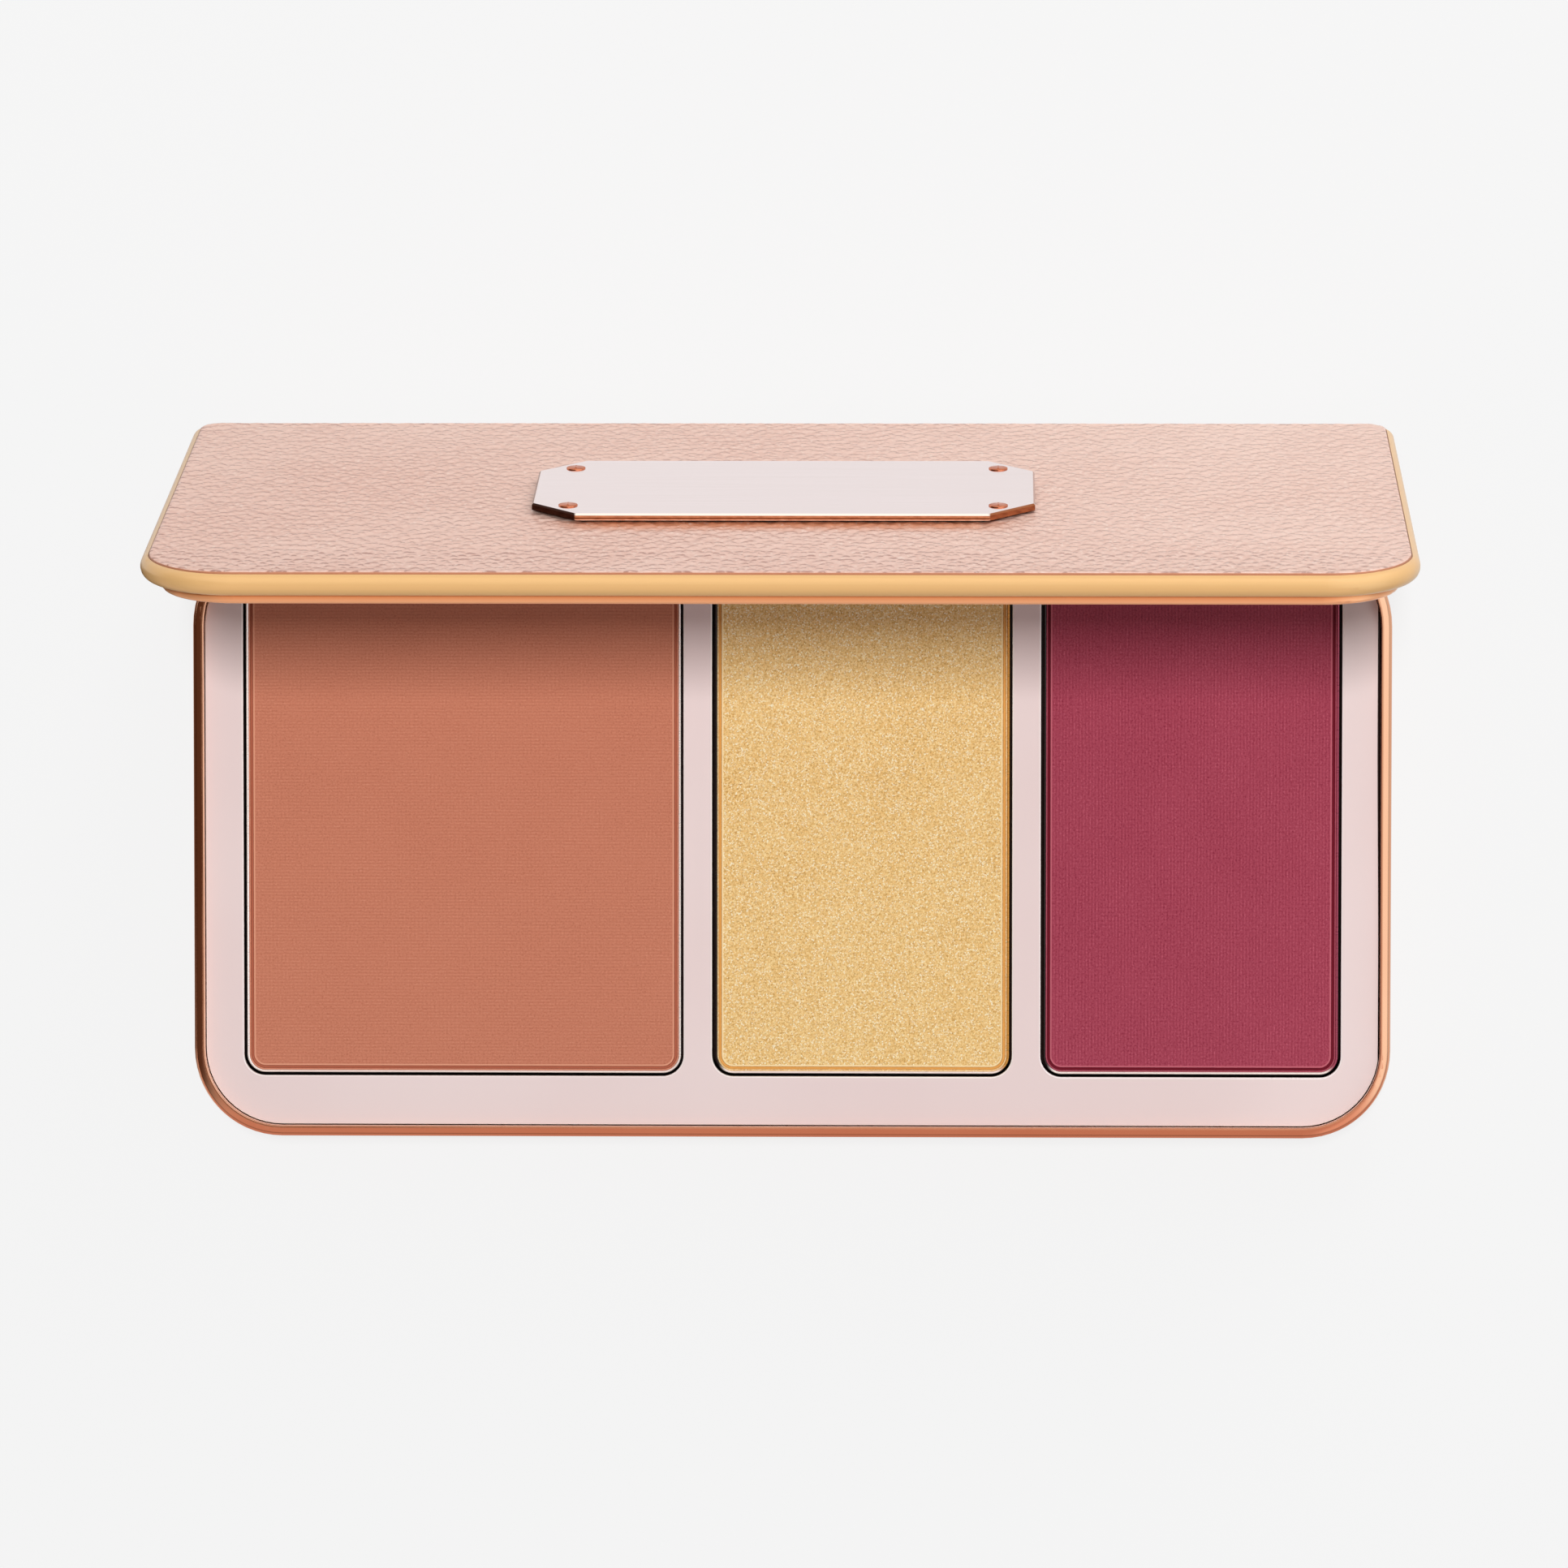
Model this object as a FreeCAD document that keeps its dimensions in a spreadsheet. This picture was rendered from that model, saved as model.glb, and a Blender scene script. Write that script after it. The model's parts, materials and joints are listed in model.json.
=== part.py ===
import FreeCAD, Part
import math
import os
import re
import Sketcher
from FreeCAD import Placement, Rotation, Vector

# A slim face palette: a hinged case with three pressed powders and a mirror, standing open.
# The origin is the centre of the case's underside, X runs along the case, +Y points at the
# hinge and +Z up. Lid pieces are drawn about the hinge axis as if the lid were shut, and
# their placement then swings them open.

# Driving sizes, in millimetres and degrees
SIZES = {
    # Lower case
    "base_width": 136.0,
    "base_depth": 69.0,
    "base_height": 10.0,
    "base_corner": 10.0,
    "base_back_corner": 10.8,
    "base_foot_round": 2.0,
    "floor_thickness": 1.4,
    "rim_wall": 1.25,
    "rim_round": 1.0,
    "rim_inner_round": 0.1,
    # Ribs that carry the pan tray
    "rib_thickness": 1.2,
    "rib_height": 1.35,
    "rib_side_margin": 16.0,
    "rib_end_margin": 11.5,
    "rib_count": 6,
    # Pan tray: a deck with three wells hanging from it
    "deck_thickness": 1.2,
    "deck_gap": 0.06,
    "deck_round": 0.12,
    "window_side_margin": 5.6,
    "window_front_margin": 6.85,
    "window_back_margin": 6.15,
    "window_corner": 2.4,
    "window_round": 0.2,
    "divider_width": 3.25,
    "small_window": 34.1,
    "well_wall": 0.8,
    "well_floor": 1.0,
    # Metal pans and their powders
    "pan_gap": 0.3,
    "pan_drop": 0.6,
    "pan_wall": 0.28,
    "pan_round": 0.12,
    "glue_thickness": 0.15,
    "glue_margin": 5.0,
    "powder_drop": 0.1,
    "powder_round": 0.55,
    # Hinge
    "hinge_setback": 1.75,
    "hinge_foot_gap": 0.5,
    "hinge_end_margin": 18.7,
    "open_angle": 78.0,
    "knuckle_radius": 1.9,
    "ear_width": 6.0,
    "ear_root_gap": 0.15,
    "hinge_side_gap": 0.3,
    "hinge_round_gap": 0.3,
    "pin_diameter": 1.5,
    "pin_reach": 6.0,
    "pin_press_gap": 0.01,
    "pin_running_gap": 0.05,
    "pin_end_gap": 0.3,
    "spine_gap": 0.4,
    "spine_thickness": 2.4,
    "spine_root": 0.6,
    # Lid
    "lid_overhang": 3.5,
    "lid_side_overhang": 0.25,
    "lid_thickness": 2.4,
    "lid_back_corner": 3.2,
    "lid_edge_round": 1.15,
    "parting_gap": 0.15,
    "leather_inset": 0.85,
    "leather_gap": 0.05,
    "leather_thickness": 0.9,
    "leather_round": 0.35,
    "recess_depth": 0.7,
    "adhesive_thickness": 0.1,
    "adhesive_inset": 0.6,
    # Plate on the lid
    "plate_width": 54.7,
    "plate_depth": 25.4,
    "plate_offset": 0.7,
    "plate_thickness": 0.75,
    "plate_chamfer": 5.0,
    "plate_bevel": 0.2,
    "plate_pad_thickness": 0.25,
    "rivet_inset_x": 4.0,
    "rivet_inset_y": 3.9,
    "rivet_head_diameter": 2.1,
    "rivet_head_height": 0.4,
    "rivet_shank_diameter": 1.2,
    "rivet_shank_gap": 0.02,
    "rivet_reach": 0.6,
    # Mirror in its frame under the lid
    "frame_deck_gap": 0.55,
    "frame_clearance": 0.4,
    "frame_side_clearance": 0.75,
    "frame_back_clearance": 2.3,
    "frame_border": 4.8,
    "frame_round": 0.4,
    "mirror_gap": 0.1,
    "mirror_corner": 3.0,
    "mirror_thickness": 0.85,
    "mirror_setback": 0.1,
    "mirror_bevel": 0.2,
    "tape_thickness": 0.15,
    "tape_inset": 3.0,
    # Magnets that hold the lid shut
    "magnet_diameter": 3.0,
    "base_magnet_height": 2.0,
    "lid_magnet_height": 1.0,
    "magnet_end_margin": 28.0,
    "magnet_gap": 0.02,
    "post_wall": 0.7,
    "post_gap": 0.1,
    "post_side_gap": 0.25,
}

# Heights in the lower case
RIB_TOP = "(floor_thickness + rib_height)"
PAN_SEAT = f"({RIB_TOP} + well_floor)"
PAN_FOOT = f"({PAN_SEAT} + glue_thickness)"
FRAME_THICKNESS = "(mirror_thickness + tape_thickness + mirror_setback)"
DECK_TOP = f"(base_height + parting_gap - {FRAME_THICKNESS} - frame_deck_gap)"
DECK_FOOT = f"({DECK_TOP} - deck_thickness)"
PAN_RIM = f"({DECK_TOP} - pan_drop)"
POST_TOP = f"({DECK_FOOT} - post_gap)"

# Inside of the lower case's wall
CAVITY_WIDTH = "(base_width - 2 * rim_wall)"
CAVITY_DEPTH = "(base_depth - 2 * rim_wall)"
CAVITY_CORNER = "(base_corner - rim_wall)"
CAVITY_BACK_CORNER = "(base_back_corner - rim_wall)"

# Windows of the deck
WINDOW_DEPTH = "(base_depth - window_front_margin - window_back_margin)"
WINDOW_Y = "((window_front_margin - window_back_margin) / 2)"
LARGE_WINDOW = "(base_width - 2 * (window_side_margin + small_window + divider_width))"

# Hinge
HINGE_Y = "(base_depth / 2 + hinge_setback)"
HINGE_Z = "(knuckle_radius + hinge_foot_gap)"
EAR_END = "(base_width / 2 - hinge_end_margin)"
EAR_START = f"({EAR_END} - ear_width)"
BARREL_END = f"({EAR_START} - hinge_side_gap)"
PIN_LENGTH = "(pin_reach + hinge_side_gap + ear_width)"

# Heights and places in the shut lid, measured from the hinge axis
LID_FOOT = f"(base_height + parting_gap - {HINGE_Z})"
LID_TOP = f"({LID_FOOT} + lid_thickness)"
RECESS_FLOOR = f"({LID_TOP} - recess_depth)"
LEATHER_FOOT = f"({RECESS_FLOOR} + adhesive_thickness)"
LEATHER_TOP = f"({LEATHER_FOOT} + leather_thickness)"
PLATE_FOOT = f"({LEATHER_TOP} + plate_pad_thickness)"
PLATE_TOP = f"({PLATE_FOOT} + plate_thickness)"
FRAME_FOOT = f"({LID_FOOT} - {FRAME_THICKNESS})"
TAPE_FOOT = f"({LID_FOOT} - tape_thickness)"
LID_WIDTH = "(base_width + 2 * lid_side_overhang)"
LID_DEPTH = "(base_depth + lid_overhang)"
LID_CORNER = "(base_corner + lid_side_overhang)"
LID_MIDDLE = f"(lid_overhang / 2 - {HINGE_Y})"
FRAME_WIDTH = f"({CAVITY_WIDTH} - 2 * frame_side_clearance)"
FRAME_DEPTH = f"({CAVITY_DEPTH} - frame_clearance - frame_back_clearance)"
FRAME_CORNER = f"({CAVITY_CORNER} - frame_clearance)"
FRAME_MIDDLE = f"((frame_clearance - frame_back_clearance) / 2 - {HINGE_Y})"
PLATE_MIDDLE = f"({LID_MIDDLE} - plate_offset)"
RIVET_X = "(plate_width / 2 - rivet_inset_x)"
RIVET_Y = "(plate_depth / 2 - rivet_inset_y)"

# Magnets, close in front of the wells
POST_DIAMETER = "(magnet_diameter + 2 * post_wall)"
WELL_FRONT = "(window_front_margin - well_wall - base_depth / 2)"
MAGNET_X = "(base_width / 2 - magnet_end_margin)"
MAGNET_Y = f"({WELL_FRONT} - post_side_gap - {POST_DIAMETER} / 2)"

# Each pan's name, its window's width and the window's centre
PANS = [
    ("bronzer", LARGE_WINDOW, "(-(small_window + divider_width))"),
    ("highlighter", "small_window", f"(({LARGE_WINDOW} - small_window) / 2)"),
    ("blush", "small_window", f"(({LARGE_WINDOW} + small_window) / 2 + divider_width)"),
]

# Largest share of a wall that a round or a bevel may take: on one edge, on the edge across
# from that one, and on each of two like edges
ONE_EDGE = 0.8
FAR_EDGE = 0.15
TWO_EDGES = 0.48

SIZE_NAME = re.compile(r"[a-z_]+")
LEVEL = 1e-6

doc = FreeCAD.newDocument("palette")
sheet = doc.addObject("Spreadsheet::Sheet", "Sizes")
for row, (name, value) in enumerate(SIZES.items(), start=1):
    sheet.set(f"A{row}", name)
    sheet.set(f"B{row}", str(value))
    sheet.setAlias(f"B{row}", name)
doc.recompute()

pieces = []


def sheet_name(match):
    """Give the sheet's own name for a size, and leave functions such as min as they are."""
    word = match.group()
    return f"Sizes.{word}" if word in SIZES else word


def bind(target, path, formula):
    """Tie a property to a formula of named sizes."""
    target.setExpression(path, SIZE_NAME.sub(sheet_name, formula))


def value_of(formula):
    """Work out a formula of named sizes."""
    return sheet.evalExpression(SIZE_NAME.sub(sheet_name, formula))


def limited(size, wall, share):
    """Give the formula of a round or a bevel that its wall limits."""
    return f"min({size}; {share} * {wall})"


def add_body(label):
    """Start a sub-part that is built from sketches and features."""
    body = doc.addObject("PartDesign::Body", label)
    body.Label = label
    pieces.append(body)
    return body


def origin_datum(body, role):
    """Find one of a body's own origin planes or axes."""
    return next(datum for datum in body.Origin.OriginFeatures if datum.Role == role)


def add_sketch(body, x="0", y="0", lift="0", plane="XY_Plane"):
    """Attach an empty sketch to an origin plane, shifted within it and lifted from it."""
    sketch = body.newObject("Sketcher::SketchObject", f"{body.Label}_sketch")
    sketch.AttachmentSupport = [(origin_datum(body, plane), "")]
    sketch.MapMode = "FlatFace"
    for axis, formula in zip("xyz", (x, y, lift)):
        bind(sketch, f"AttachmentOffset.Base.{axis}", formula)
    return sketch


def set_distance(sketch, kind, first, second, formula):
    """Hold two points apart along an axis, or to a radius, by a formula."""
    index = sketch.addConstraint(Sketcher.Constraint(kind, *first, *second, value_of(formula)))
    bind(sketch, f"Constraints[{index}]", formula)


def centre_on_origin(sketch, left, right, front, back, width, depth):
    """Set four straight sides at equal distances from the sketch's origin."""
    origin = (-1, 1)
    half_width = f"{width} / 2"
    half_depth = f"{depth} / 2"
    set_distance(sketch, "DistanceX", (left, 1), origin, half_width)
    set_distance(sketch, "DistanceX", origin, (right, 1), half_width)
    set_distance(sketch, "DistanceY", (front, 1), origin, half_depth)
    set_distance(sketch, "DistanceY", origin, (back, 1), half_depth)


def draw_rectangle(sketch, width, depth):
    """Draw a rectangle about the sketch's origin."""
    x = value_of(width) / 2
    y = value_of(depth) / 2
    corners = [Vector(-x, -y), Vector(x, -y), Vector(x, y), Vector(-x, y)]
    for start, end in zip(corners, corners[1:] + corners[:1]):
        sketch.addGeometry(Part.LineSegment(start, end))
    for side in range(4):
        sketch.addConstraint(Sketcher.Constraint("Coincident", side, 2, (side + 1) % 4, 1))
        direction = "Vertical" if side % 2 else "Horizontal"
        sketch.addConstraint(Sketcher.Constraint(direction, side))
    centre_on_origin(sketch, 3, 1, 0, 2, width, depth)


def draw_rounded_rectangle(sketch, width, depth, front_corner, back_corner=None):
    """Draw a rectangle with rounded corners about the sketch's origin."""
    back_corner = back_corner or front_corner
    x = value_of(width) / 2
    y = value_of(depth) / 2
    front = value_of(front_corner)
    back = value_of(back_corner)
    sides = [
        (Vector(front - x, -y), Vector(x - front, -y)),
        (Vector(x, front - y), Vector(x, y - back)),
        (Vector(x - back, y), Vector(back - x, y)),
        (Vector(-x, y - back), Vector(-x, front - y)),
    ]
    for start, end in sides:
        sketch.addGeometry(Part.LineSegment(start, end))
    quarter = math.pi / 2
    corners = [
        (Vector(x - front, front - y), front),
        (Vector(x - back, y - back), back),
        (Vector(back - x, y - back), back),
        (Vector(front - x, front - y), front),
    ]
    for turn, (centre, radius) in enumerate(corners, start=-1):
        circle = Part.Circle(centre, Vector(0, 0, 1), radius)
        sketch.addGeometry(Part.ArcOfCircle(circle, turn * quarter, (turn + 1) * quarter))
    for side in range(4):
        arc = side + 4
        sketch.addConstraint(Sketcher.Constraint("Tangent", side, 2, arc, 1))
        sketch.addConstraint(Sketcher.Constraint("Tangent", arc, 2, (side + 1) % 4, 1))
        direction = "Vertical" if side % 2 else "Horizontal"
        sketch.addConstraint(Sketcher.Constraint(direction, side))
    sketch.addConstraint(Sketcher.Constraint("Equal", 4, 7))
    sketch.addConstraint(Sketcher.Constraint("Equal", 5, 6))
    centre_on_origin(sketch, 3, 1, 0, 2, width, depth)
    set_distance(sketch, "Radius", (4,), (), front_corner)
    set_distance(sketch, "Radius", (5,), (), back_corner)


def draw_circle(sketch, diameter, x="0", y="0", x_sign=1, y_sign=1):
    """Draw a circle at a distance from the sketch's origin along each axis."""
    centre = Vector(x_sign * value_of(x), y_sign * value_of(y))
    index = sketch.addGeometry(Part.Circle(centre, Vector(0, 0, 1), value_of(diameter) / 2))
    origin = (-1, 1)
    middle = (index, 3)
    if x == "0" and y == "0":
        sketch.addConstraint(Sketcher.Constraint("Coincident", *middle, *origin))
    else:
        across = (origin, middle) if x_sign > 0 else (middle, origin)
        along = (origin, middle) if y_sign > 0 else (middle, origin)
        set_distance(sketch, "DistanceX", *across, x)
        set_distance(sketch, "DistanceY", *along, y)
    set_distance(sketch, "Diameter", (index,), (), diameter)


def draw_rivet_holes(sketch):
    """Draw the four rivet holes of the lid's plate about the sketch's origin."""
    for x_sign in (-1, 1):
        for y_sign in (-1, 1):
            hole = "rivet_shank_diameter + 2 * rivet_shank_gap"
            draw_circle(sketch, hole, RIVET_X, RIVET_Y, x_sign, y_sign)


def add_pad(body, sketch, length, symmetric=False):
    """Raise a sketch into a solid."""
    pad = body.newObject("PartDesign::Pad", f"{body.Label}_pad")
    pad.Profile = sketch
    bind(pad, "Length", length)
    if symmetric:
        pad.SideType = "Symmetric"
    return pad


def add_pocket(body, sketch, length, symmetric=False, upward=False):
    """Cut a sketch's outline out of the solid, against the sketch's normal unless upward."""
    pocket = body.newObject("PartDesign::Pocket", f"{body.Label}_pocket")
    pocket.Profile = sketch
    bind(pocket, "Length", length)
    pocket.Reversed = upward
    if symmetric:
        pocket.SideType = "Symmetric"
    return pocket


def add_mirror(body, original):
    """Repeat a feature on the other side of the case's middle."""
    mirrored = body.newObject("PartDesign::Mirrored", f"{body.Label}_mirrored")
    mirrored.Originals = [original]
    mirrored.MirrorPlane = (origin_datum(body, "YZ_Plane"), [""])
    body.Tip = mirrored
    return mirrored


def edge_names(shape, wanted):
    """Name the edges of a shape that pass a test."""
    return [f"Edge{number}" for number, edge in enumerate(shape.Edges, start=1) if wanted(edge)]


def is_level(edge, height):
    """Tell whether an edge lies flat at a height."""
    box = edge.BoundBox
    return abs(box.ZMin - height) < LEVEL and abs(box.ZMax - height) < LEVEL


def is_upright(edge):
    """Tell whether an edge stands straight up."""
    box = edge.BoundBox
    return box.XLength < LEVEL and box.YLength < LEVEL


def top_edges(body, inner):
    """Make a test for a body's top edges, either those of its openings or those of its outline."""
    doc.recompute()
    points = [vertex.Point for vertex in body.Shape.Vertexes]
    top = max(point.z for point in points)
    reach_x = max(point.x for point in points) - LEVEL
    reach_y = max(point.y for point in points) - LEVEL

    def is_wanted(edge):
        inside = all(abs(end.X) < reach_x and abs(end.Y) < reach_y for end in edge.Vertexes)
        return inside == inner and is_level(edge, top)

    return is_wanted


def dress_edges(body, kind, prop, size, wanted):
    """Fillet or chamfer the edges of a body's last feature that pass a test."""
    doc.recompute()
    base = body.Tip
    dressed = body.newObject(f"PartDesign::{kind}", f"{body.Label}_{kind.lower()}")
    dressed.Base = (base, edge_names(base.Shape, wanted))
    bind(dressed, prop, size)
    doc.recompute()
    return dressed


def round_level(body, size, top=True, bottom=False):
    """Round the edges at the top or bottom of a body."""
    doc.recompute()
    levels = [vertex.Z for vertex in body.Shape.Vertexes]
    heights = [max(levels)] * top + [min(levels)] * bottom
    dress_edges(body, "Fillet", "Radius", size, lambda edge: any(is_level(edge, z) for z in heights))


def swing_open(piece):
    """Hang a lid piece on the hinge axis, swung open."""
    piece.Placement = Placement(Vector(), Rotation(Vector(-1, 0, 0), SIZES["open_angle"]))
    bind(piece, "Placement.Base.y", HINGE_Y)
    bind(piece, "Placement.Base.z", HINGE_Z)
    bind(piece, "Placement.Rotation.Angle", "open_angle")


def add_cylinder(label, diameter, height, x, y, z, along_x=False):
    """Make a plain cylinder that stands on a point, or lies along X from it."""
    cylinder = doc.addObject("Part::Cylinder", label)
    if along_x:
        cylinder.Placement.Rotation = Rotation(Vector(0, 0, 1), Vector(1, 0, 0))
    bind(cylinder, "Radius", f"{diameter} / 2")
    bind(cylinder, "Height", height)
    for axis, formula in zip("xyz", (x, y, z)):
        bind(cylinder, f"Placement.Base.{axis}", formula)
    return cylinder


def add_group(label, members):
    """Gather separate like solids into one sub-part."""
    group = doc.addObject("Part::Compound", label)
    group.Label = label
    group.Links = members
    pieces.append(group)
    return group


def build_base_shell():
    """Lower case: a rounded tray with hinge ears, ribs and magnet posts."""
    body = add_body("base_shell")
    outline = add_sketch(body)
    draw_rounded_rectangle(outline, "base_width", "base_depth", "base_corner", "base_back_corner")
    add_pad(body, outline, "base_height")
    foot_round = limited("base_foot_round", "(rim_wall + floor_thickness)", ONE_EDGE)
    round_level(body, foot_round, top=False, bottom=True)
    cavity = add_sketch(body, lift="base_height")
    draw_rounded_rectangle(cavity, CAVITY_WIDTH, CAVITY_DEPTH, CAVITY_CORNER, CAVITY_BACK_CORNER)
    add_pocket(body, cavity, "base_height - floor_thickness")
    inner_round = limited("rim_inner_round", "rim_wall", FAR_EDGE)
    dress_edges(body, "Fillet", "Radius", inner_round, top_edges(body, inner=True))
    outer_round = limited("rim_round", "rim_wall", ONE_EDGE)
    dress_edges(body, "Fillet", "Radius", outer_round, top_edges(body, inner=False))
    build_hinge_ears(body)
    rib_reach = "(base_width / 2 - rib_side_margin)"
    rib = add_sketch(body, x=f"-{rib_reach}", lift="floor_thickness / 2")
    draw_rectangle(rib, "rib_thickness", "(base_depth - 2 * rib_end_margin)")
    rib_pad = add_pad(body, rib, f"{RIB_TOP} - floor_thickness / 2")
    ribs = body.newObject("PartDesign::LinearPattern", "base_shell_ribs")
    ribs.Originals = [rib_pad]
    ribs.Direction = (origin_datum(body, "X_Axis"), [""])
    bind(ribs, "Length", f"2 * {rib_reach}")
    bind(ribs, "Occurrences", "rib_count")
    body.Tip = ribs
    post = add_sketch(body, x=MAGNET_X, y=MAGNET_Y, lift="floor_thickness / 2")
    draw_circle(post, POST_DIAMETER)
    add_mirror(body, add_pad(body, post, f"{POST_TOP} - floor_thickness / 2"))
    seat = add_sketch(body, x=MAGNET_X, y=MAGNET_Y, lift=POST_TOP)
    draw_circle(seat, "magnet_diameter + 2 * magnet_gap")
    add_mirror(body, add_pocket(body, seat, "base_magnet_height"))


def build_hinge_ears(body):
    """Two bored ears behind the lower case, and room between them for the lid's barrel."""
    knuckle = add_sketch(body, x=HINGE_Y, y=HINGE_Z, lift=EAR_START, plane="YZ_Plane")
    draw_circle(knuckle, "2 * knuckle_radius")
    add_mirror(body, add_pad(body, knuckle, "ear_width"))
    reach = "(hinge_setback + rim_wall - ear_root_gap)"
    web = add_sketch(body, x=f"{HINGE_Y} - {reach} / 2", y=HINGE_Z, lift=EAR_START, plane="YZ_Plane")
    draw_rectangle(web, reach, "2 * knuckle_radius")
    add_mirror(body, add_pad(body, web, "ear_width"))
    bore = add_sketch(body, x=HINGE_Y, y=HINGE_Z, plane="YZ_Plane")
    draw_circle(bore, "pin_diameter + 2 * pin_press_gap")
    add_pocket(body, bore, f"2 * {EAR_END} + ear_width", symmetric=True)
    relief = add_sketch(body, x=HINGE_Y, y=HINGE_Z, plane="YZ_Plane")
    draw_circle(relief, "2 * (knuckle_radius + hinge_round_gap)")
    add_pocket(body, relief, f"2 * {EAR_START}", symmetric=True)


def build_pan_tray():
    """Deck with a window and a well for each pan."""
    body = add_body("pan_tray")
    deck = add_sketch(body, lift=DECK_FOOT)
    draw_rounded_rectangle(
        deck, f"({CAVITY_WIDTH} - 2 * deck_gap)", f"({CAVITY_DEPTH} - 2 * deck_gap)",
        f"({CAVITY_CORNER} - deck_gap)", f"({CAVITY_BACK_CORNER} - deck_gap)")
    add_pad(body, deck, "deck_thickness")
    for _, window, x in PANS:
        well = add_sketch(body, x=x, y=WINDOW_Y, lift=RIB_TOP)
        well_width = f"({window} + 2 * well_wall)"
        well_depth = f"({WINDOW_DEPTH} + 2 * well_wall)"
        draw_rounded_rectangle(well, well_width, well_depth, "(window_corner + well_wall)")
        add_pad(body, well, f"{DECK_TOP} - deck_thickness / 2 - {RIB_TOP}")
    for _, window, x in PANS:
        opening = add_sketch(body, x=x, y=WINDOW_Y, lift=DECK_TOP)
        draw_rounded_rectangle(opening, window, WINDOW_DEPTH, "window_corner")
        add_pocket(body, opening, f"{DECK_TOP} - {PAN_SEAT}")
    window_round = limited("window_round", "deck_thickness", ONE_EDGE)
    dress_edges(body, "Fillet", "Radius", window_round, top_edges(body, inner=True))
    deck_round = limited("deck_round", "deck_thickness", ONE_EDGE)
    dress_edges(body, "Fillet", "Radius", deck_round, top_edges(body, inner=False))


def build_pan(name, window, x):
    """One shallow metal pan with its glue pad and its pressed powder."""
    width = f"({window} - 2 * pan_gap)"
    depth = f"({WINDOW_DEPTH} - 2 * pan_gap)"
    corner = "(window_corner - pan_gap)"
    inner_width = f"({width} - 2 * pan_wall)"
    inner_depth = f"({depth} - 2 * pan_wall)"
    inner_corner = f"({corner} - pan_wall)"

    pan = add_body(f"{name}_pan")
    outline = add_sketch(pan, x=x, y=WINDOW_Y, lift=PAN_FOOT)
    draw_rounded_rectangle(outline, width, depth, corner)
    add_pad(pan, outline, f"{PAN_RIM} - {PAN_FOOT}")
    hollow = add_sketch(pan, x=x, y=WINDOW_Y, lift=PAN_RIM)
    draw_rounded_rectangle(hollow, inner_width, inner_depth, inner_corner)
    add_pocket(pan, hollow, f"{PAN_RIM} - {PAN_FOOT} - pan_wall")
    round_level(pan, limited("pan_round", "pan_wall", TWO_EDGES))

    glue = add_body(f"{name}_glue")
    patch = add_sketch(glue, x=x, y=WINDOW_Y, lift=PAN_SEAT)
    draw_rectangle(patch, f"({width} - 2 * glue_margin)", f"({depth} - 2 * glue_margin)")
    add_pad(glue, patch, "glue_thickness")

    powder = add_body(f"{name}_powder")
    cake = add_sketch(powder, x=x, y=WINDOW_Y, lift=f"{PAN_FOOT} + pan_wall")
    draw_rounded_rectangle(cake, inner_width, inner_depth, inner_corner)
    add_pad(powder, cake, f"{PAN_RIM} - powder_drop - {PAN_FOOT} - pan_wall")
    round_level(powder, "powder_round")


def build_base_magnets():
    """Two disc magnets in the lower case's posts."""
    z = f"{POST_TOP} - base_magnet_height"
    discs = []
    for side, sign in (("left", "-"), ("right", "")):
        label = f"base_magnet_{side}"
        x = f"{sign}{MAGNET_X}"
        discs.append(add_cylinder(label, "magnet_diameter", "base_magnet_height", x, MAGNET_Y, z))
    add_group("base_magnets", discs)


def build_hinge_pins():
    """Two short pins, pressed into the ears and free in the lid's barrel."""
    starts = {"left": f"-{EAR_END}", "right": f"{BARREL_END} - pin_reach"}
    pins = []
    for side, x in starts.items():
        label = f"hinge_pin_{side}"
        pins.append(add_cylinder(label, "pin_diameter", PIN_LENGTH, x, HINGE_Y, HINGE_Z, along_x=True))
    add_group("hinge_pins", pins)


def build_lid_shell():
    """Upper case: a slim panel with a round edge, a leather recess and the hinge's spine and barrel."""
    body = add_body("lid_shell")
    outline = add_sketch(body, y=LID_MIDDLE, lift=LID_FOOT)
    draw_inset_outline(outline, "0")
    add_pad(body, outline, "lid_thickness")
    round_level(body, limited("lid_edge_round", "lid_thickness", TWO_EDGES), bottom=True)
    recess = add_sketch(body, y=LID_MIDDLE, lift=LID_TOP)
    draw_inset_outline(recess, "leather_inset")
    add_pocket(body, recess, "recess_depth")
    spine_y = "(spine_gap - hinge_setback + spine_thickness / 2)"
    spine_height = f"({LID_FOOT} + spine_root)"
    spine = add_sketch(body, x=spine_y, y=f"{spine_height} / 2", plane="YZ_Plane")
    draw_rectangle(spine, "spine_thickness", spine_height)
    add_pad(body, spine, f"2 * {BARREL_END}", symmetric=True)
    barrel = add_sketch(body, plane="YZ_Plane")
    draw_circle(barrel, "2 * knuckle_radius")
    add_pad(body, barrel, f"2 * {BARREL_END}", symmetric=True)
    bore = add_sketch(body, lift=BARREL_END, plane="YZ_Plane")
    draw_circle(bore, "pin_diameter + 2 * pin_running_gap")
    add_mirror(body, add_pocket(body, bore, "pin_reach + pin_end_gap"))
    rivet_holes = add_sketch(body, y=PLATE_MIDDLE, lift=RECESS_FLOOR)
    draw_rivet_holes(rivet_holes)
    add_pocket(body, rivet_holes, "rivet_reach")
    seat = add_sketch(body, x=MAGNET_X, y=f"{MAGNET_Y} - {HINGE_Y}", lift=LID_FOOT)
    draw_circle(seat, "magnet_diameter + 2 * magnet_gap")
    add_mirror(body, add_pocket(body, seat, "lid_magnet_height", upward=True))
    swing_open(body)


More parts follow.
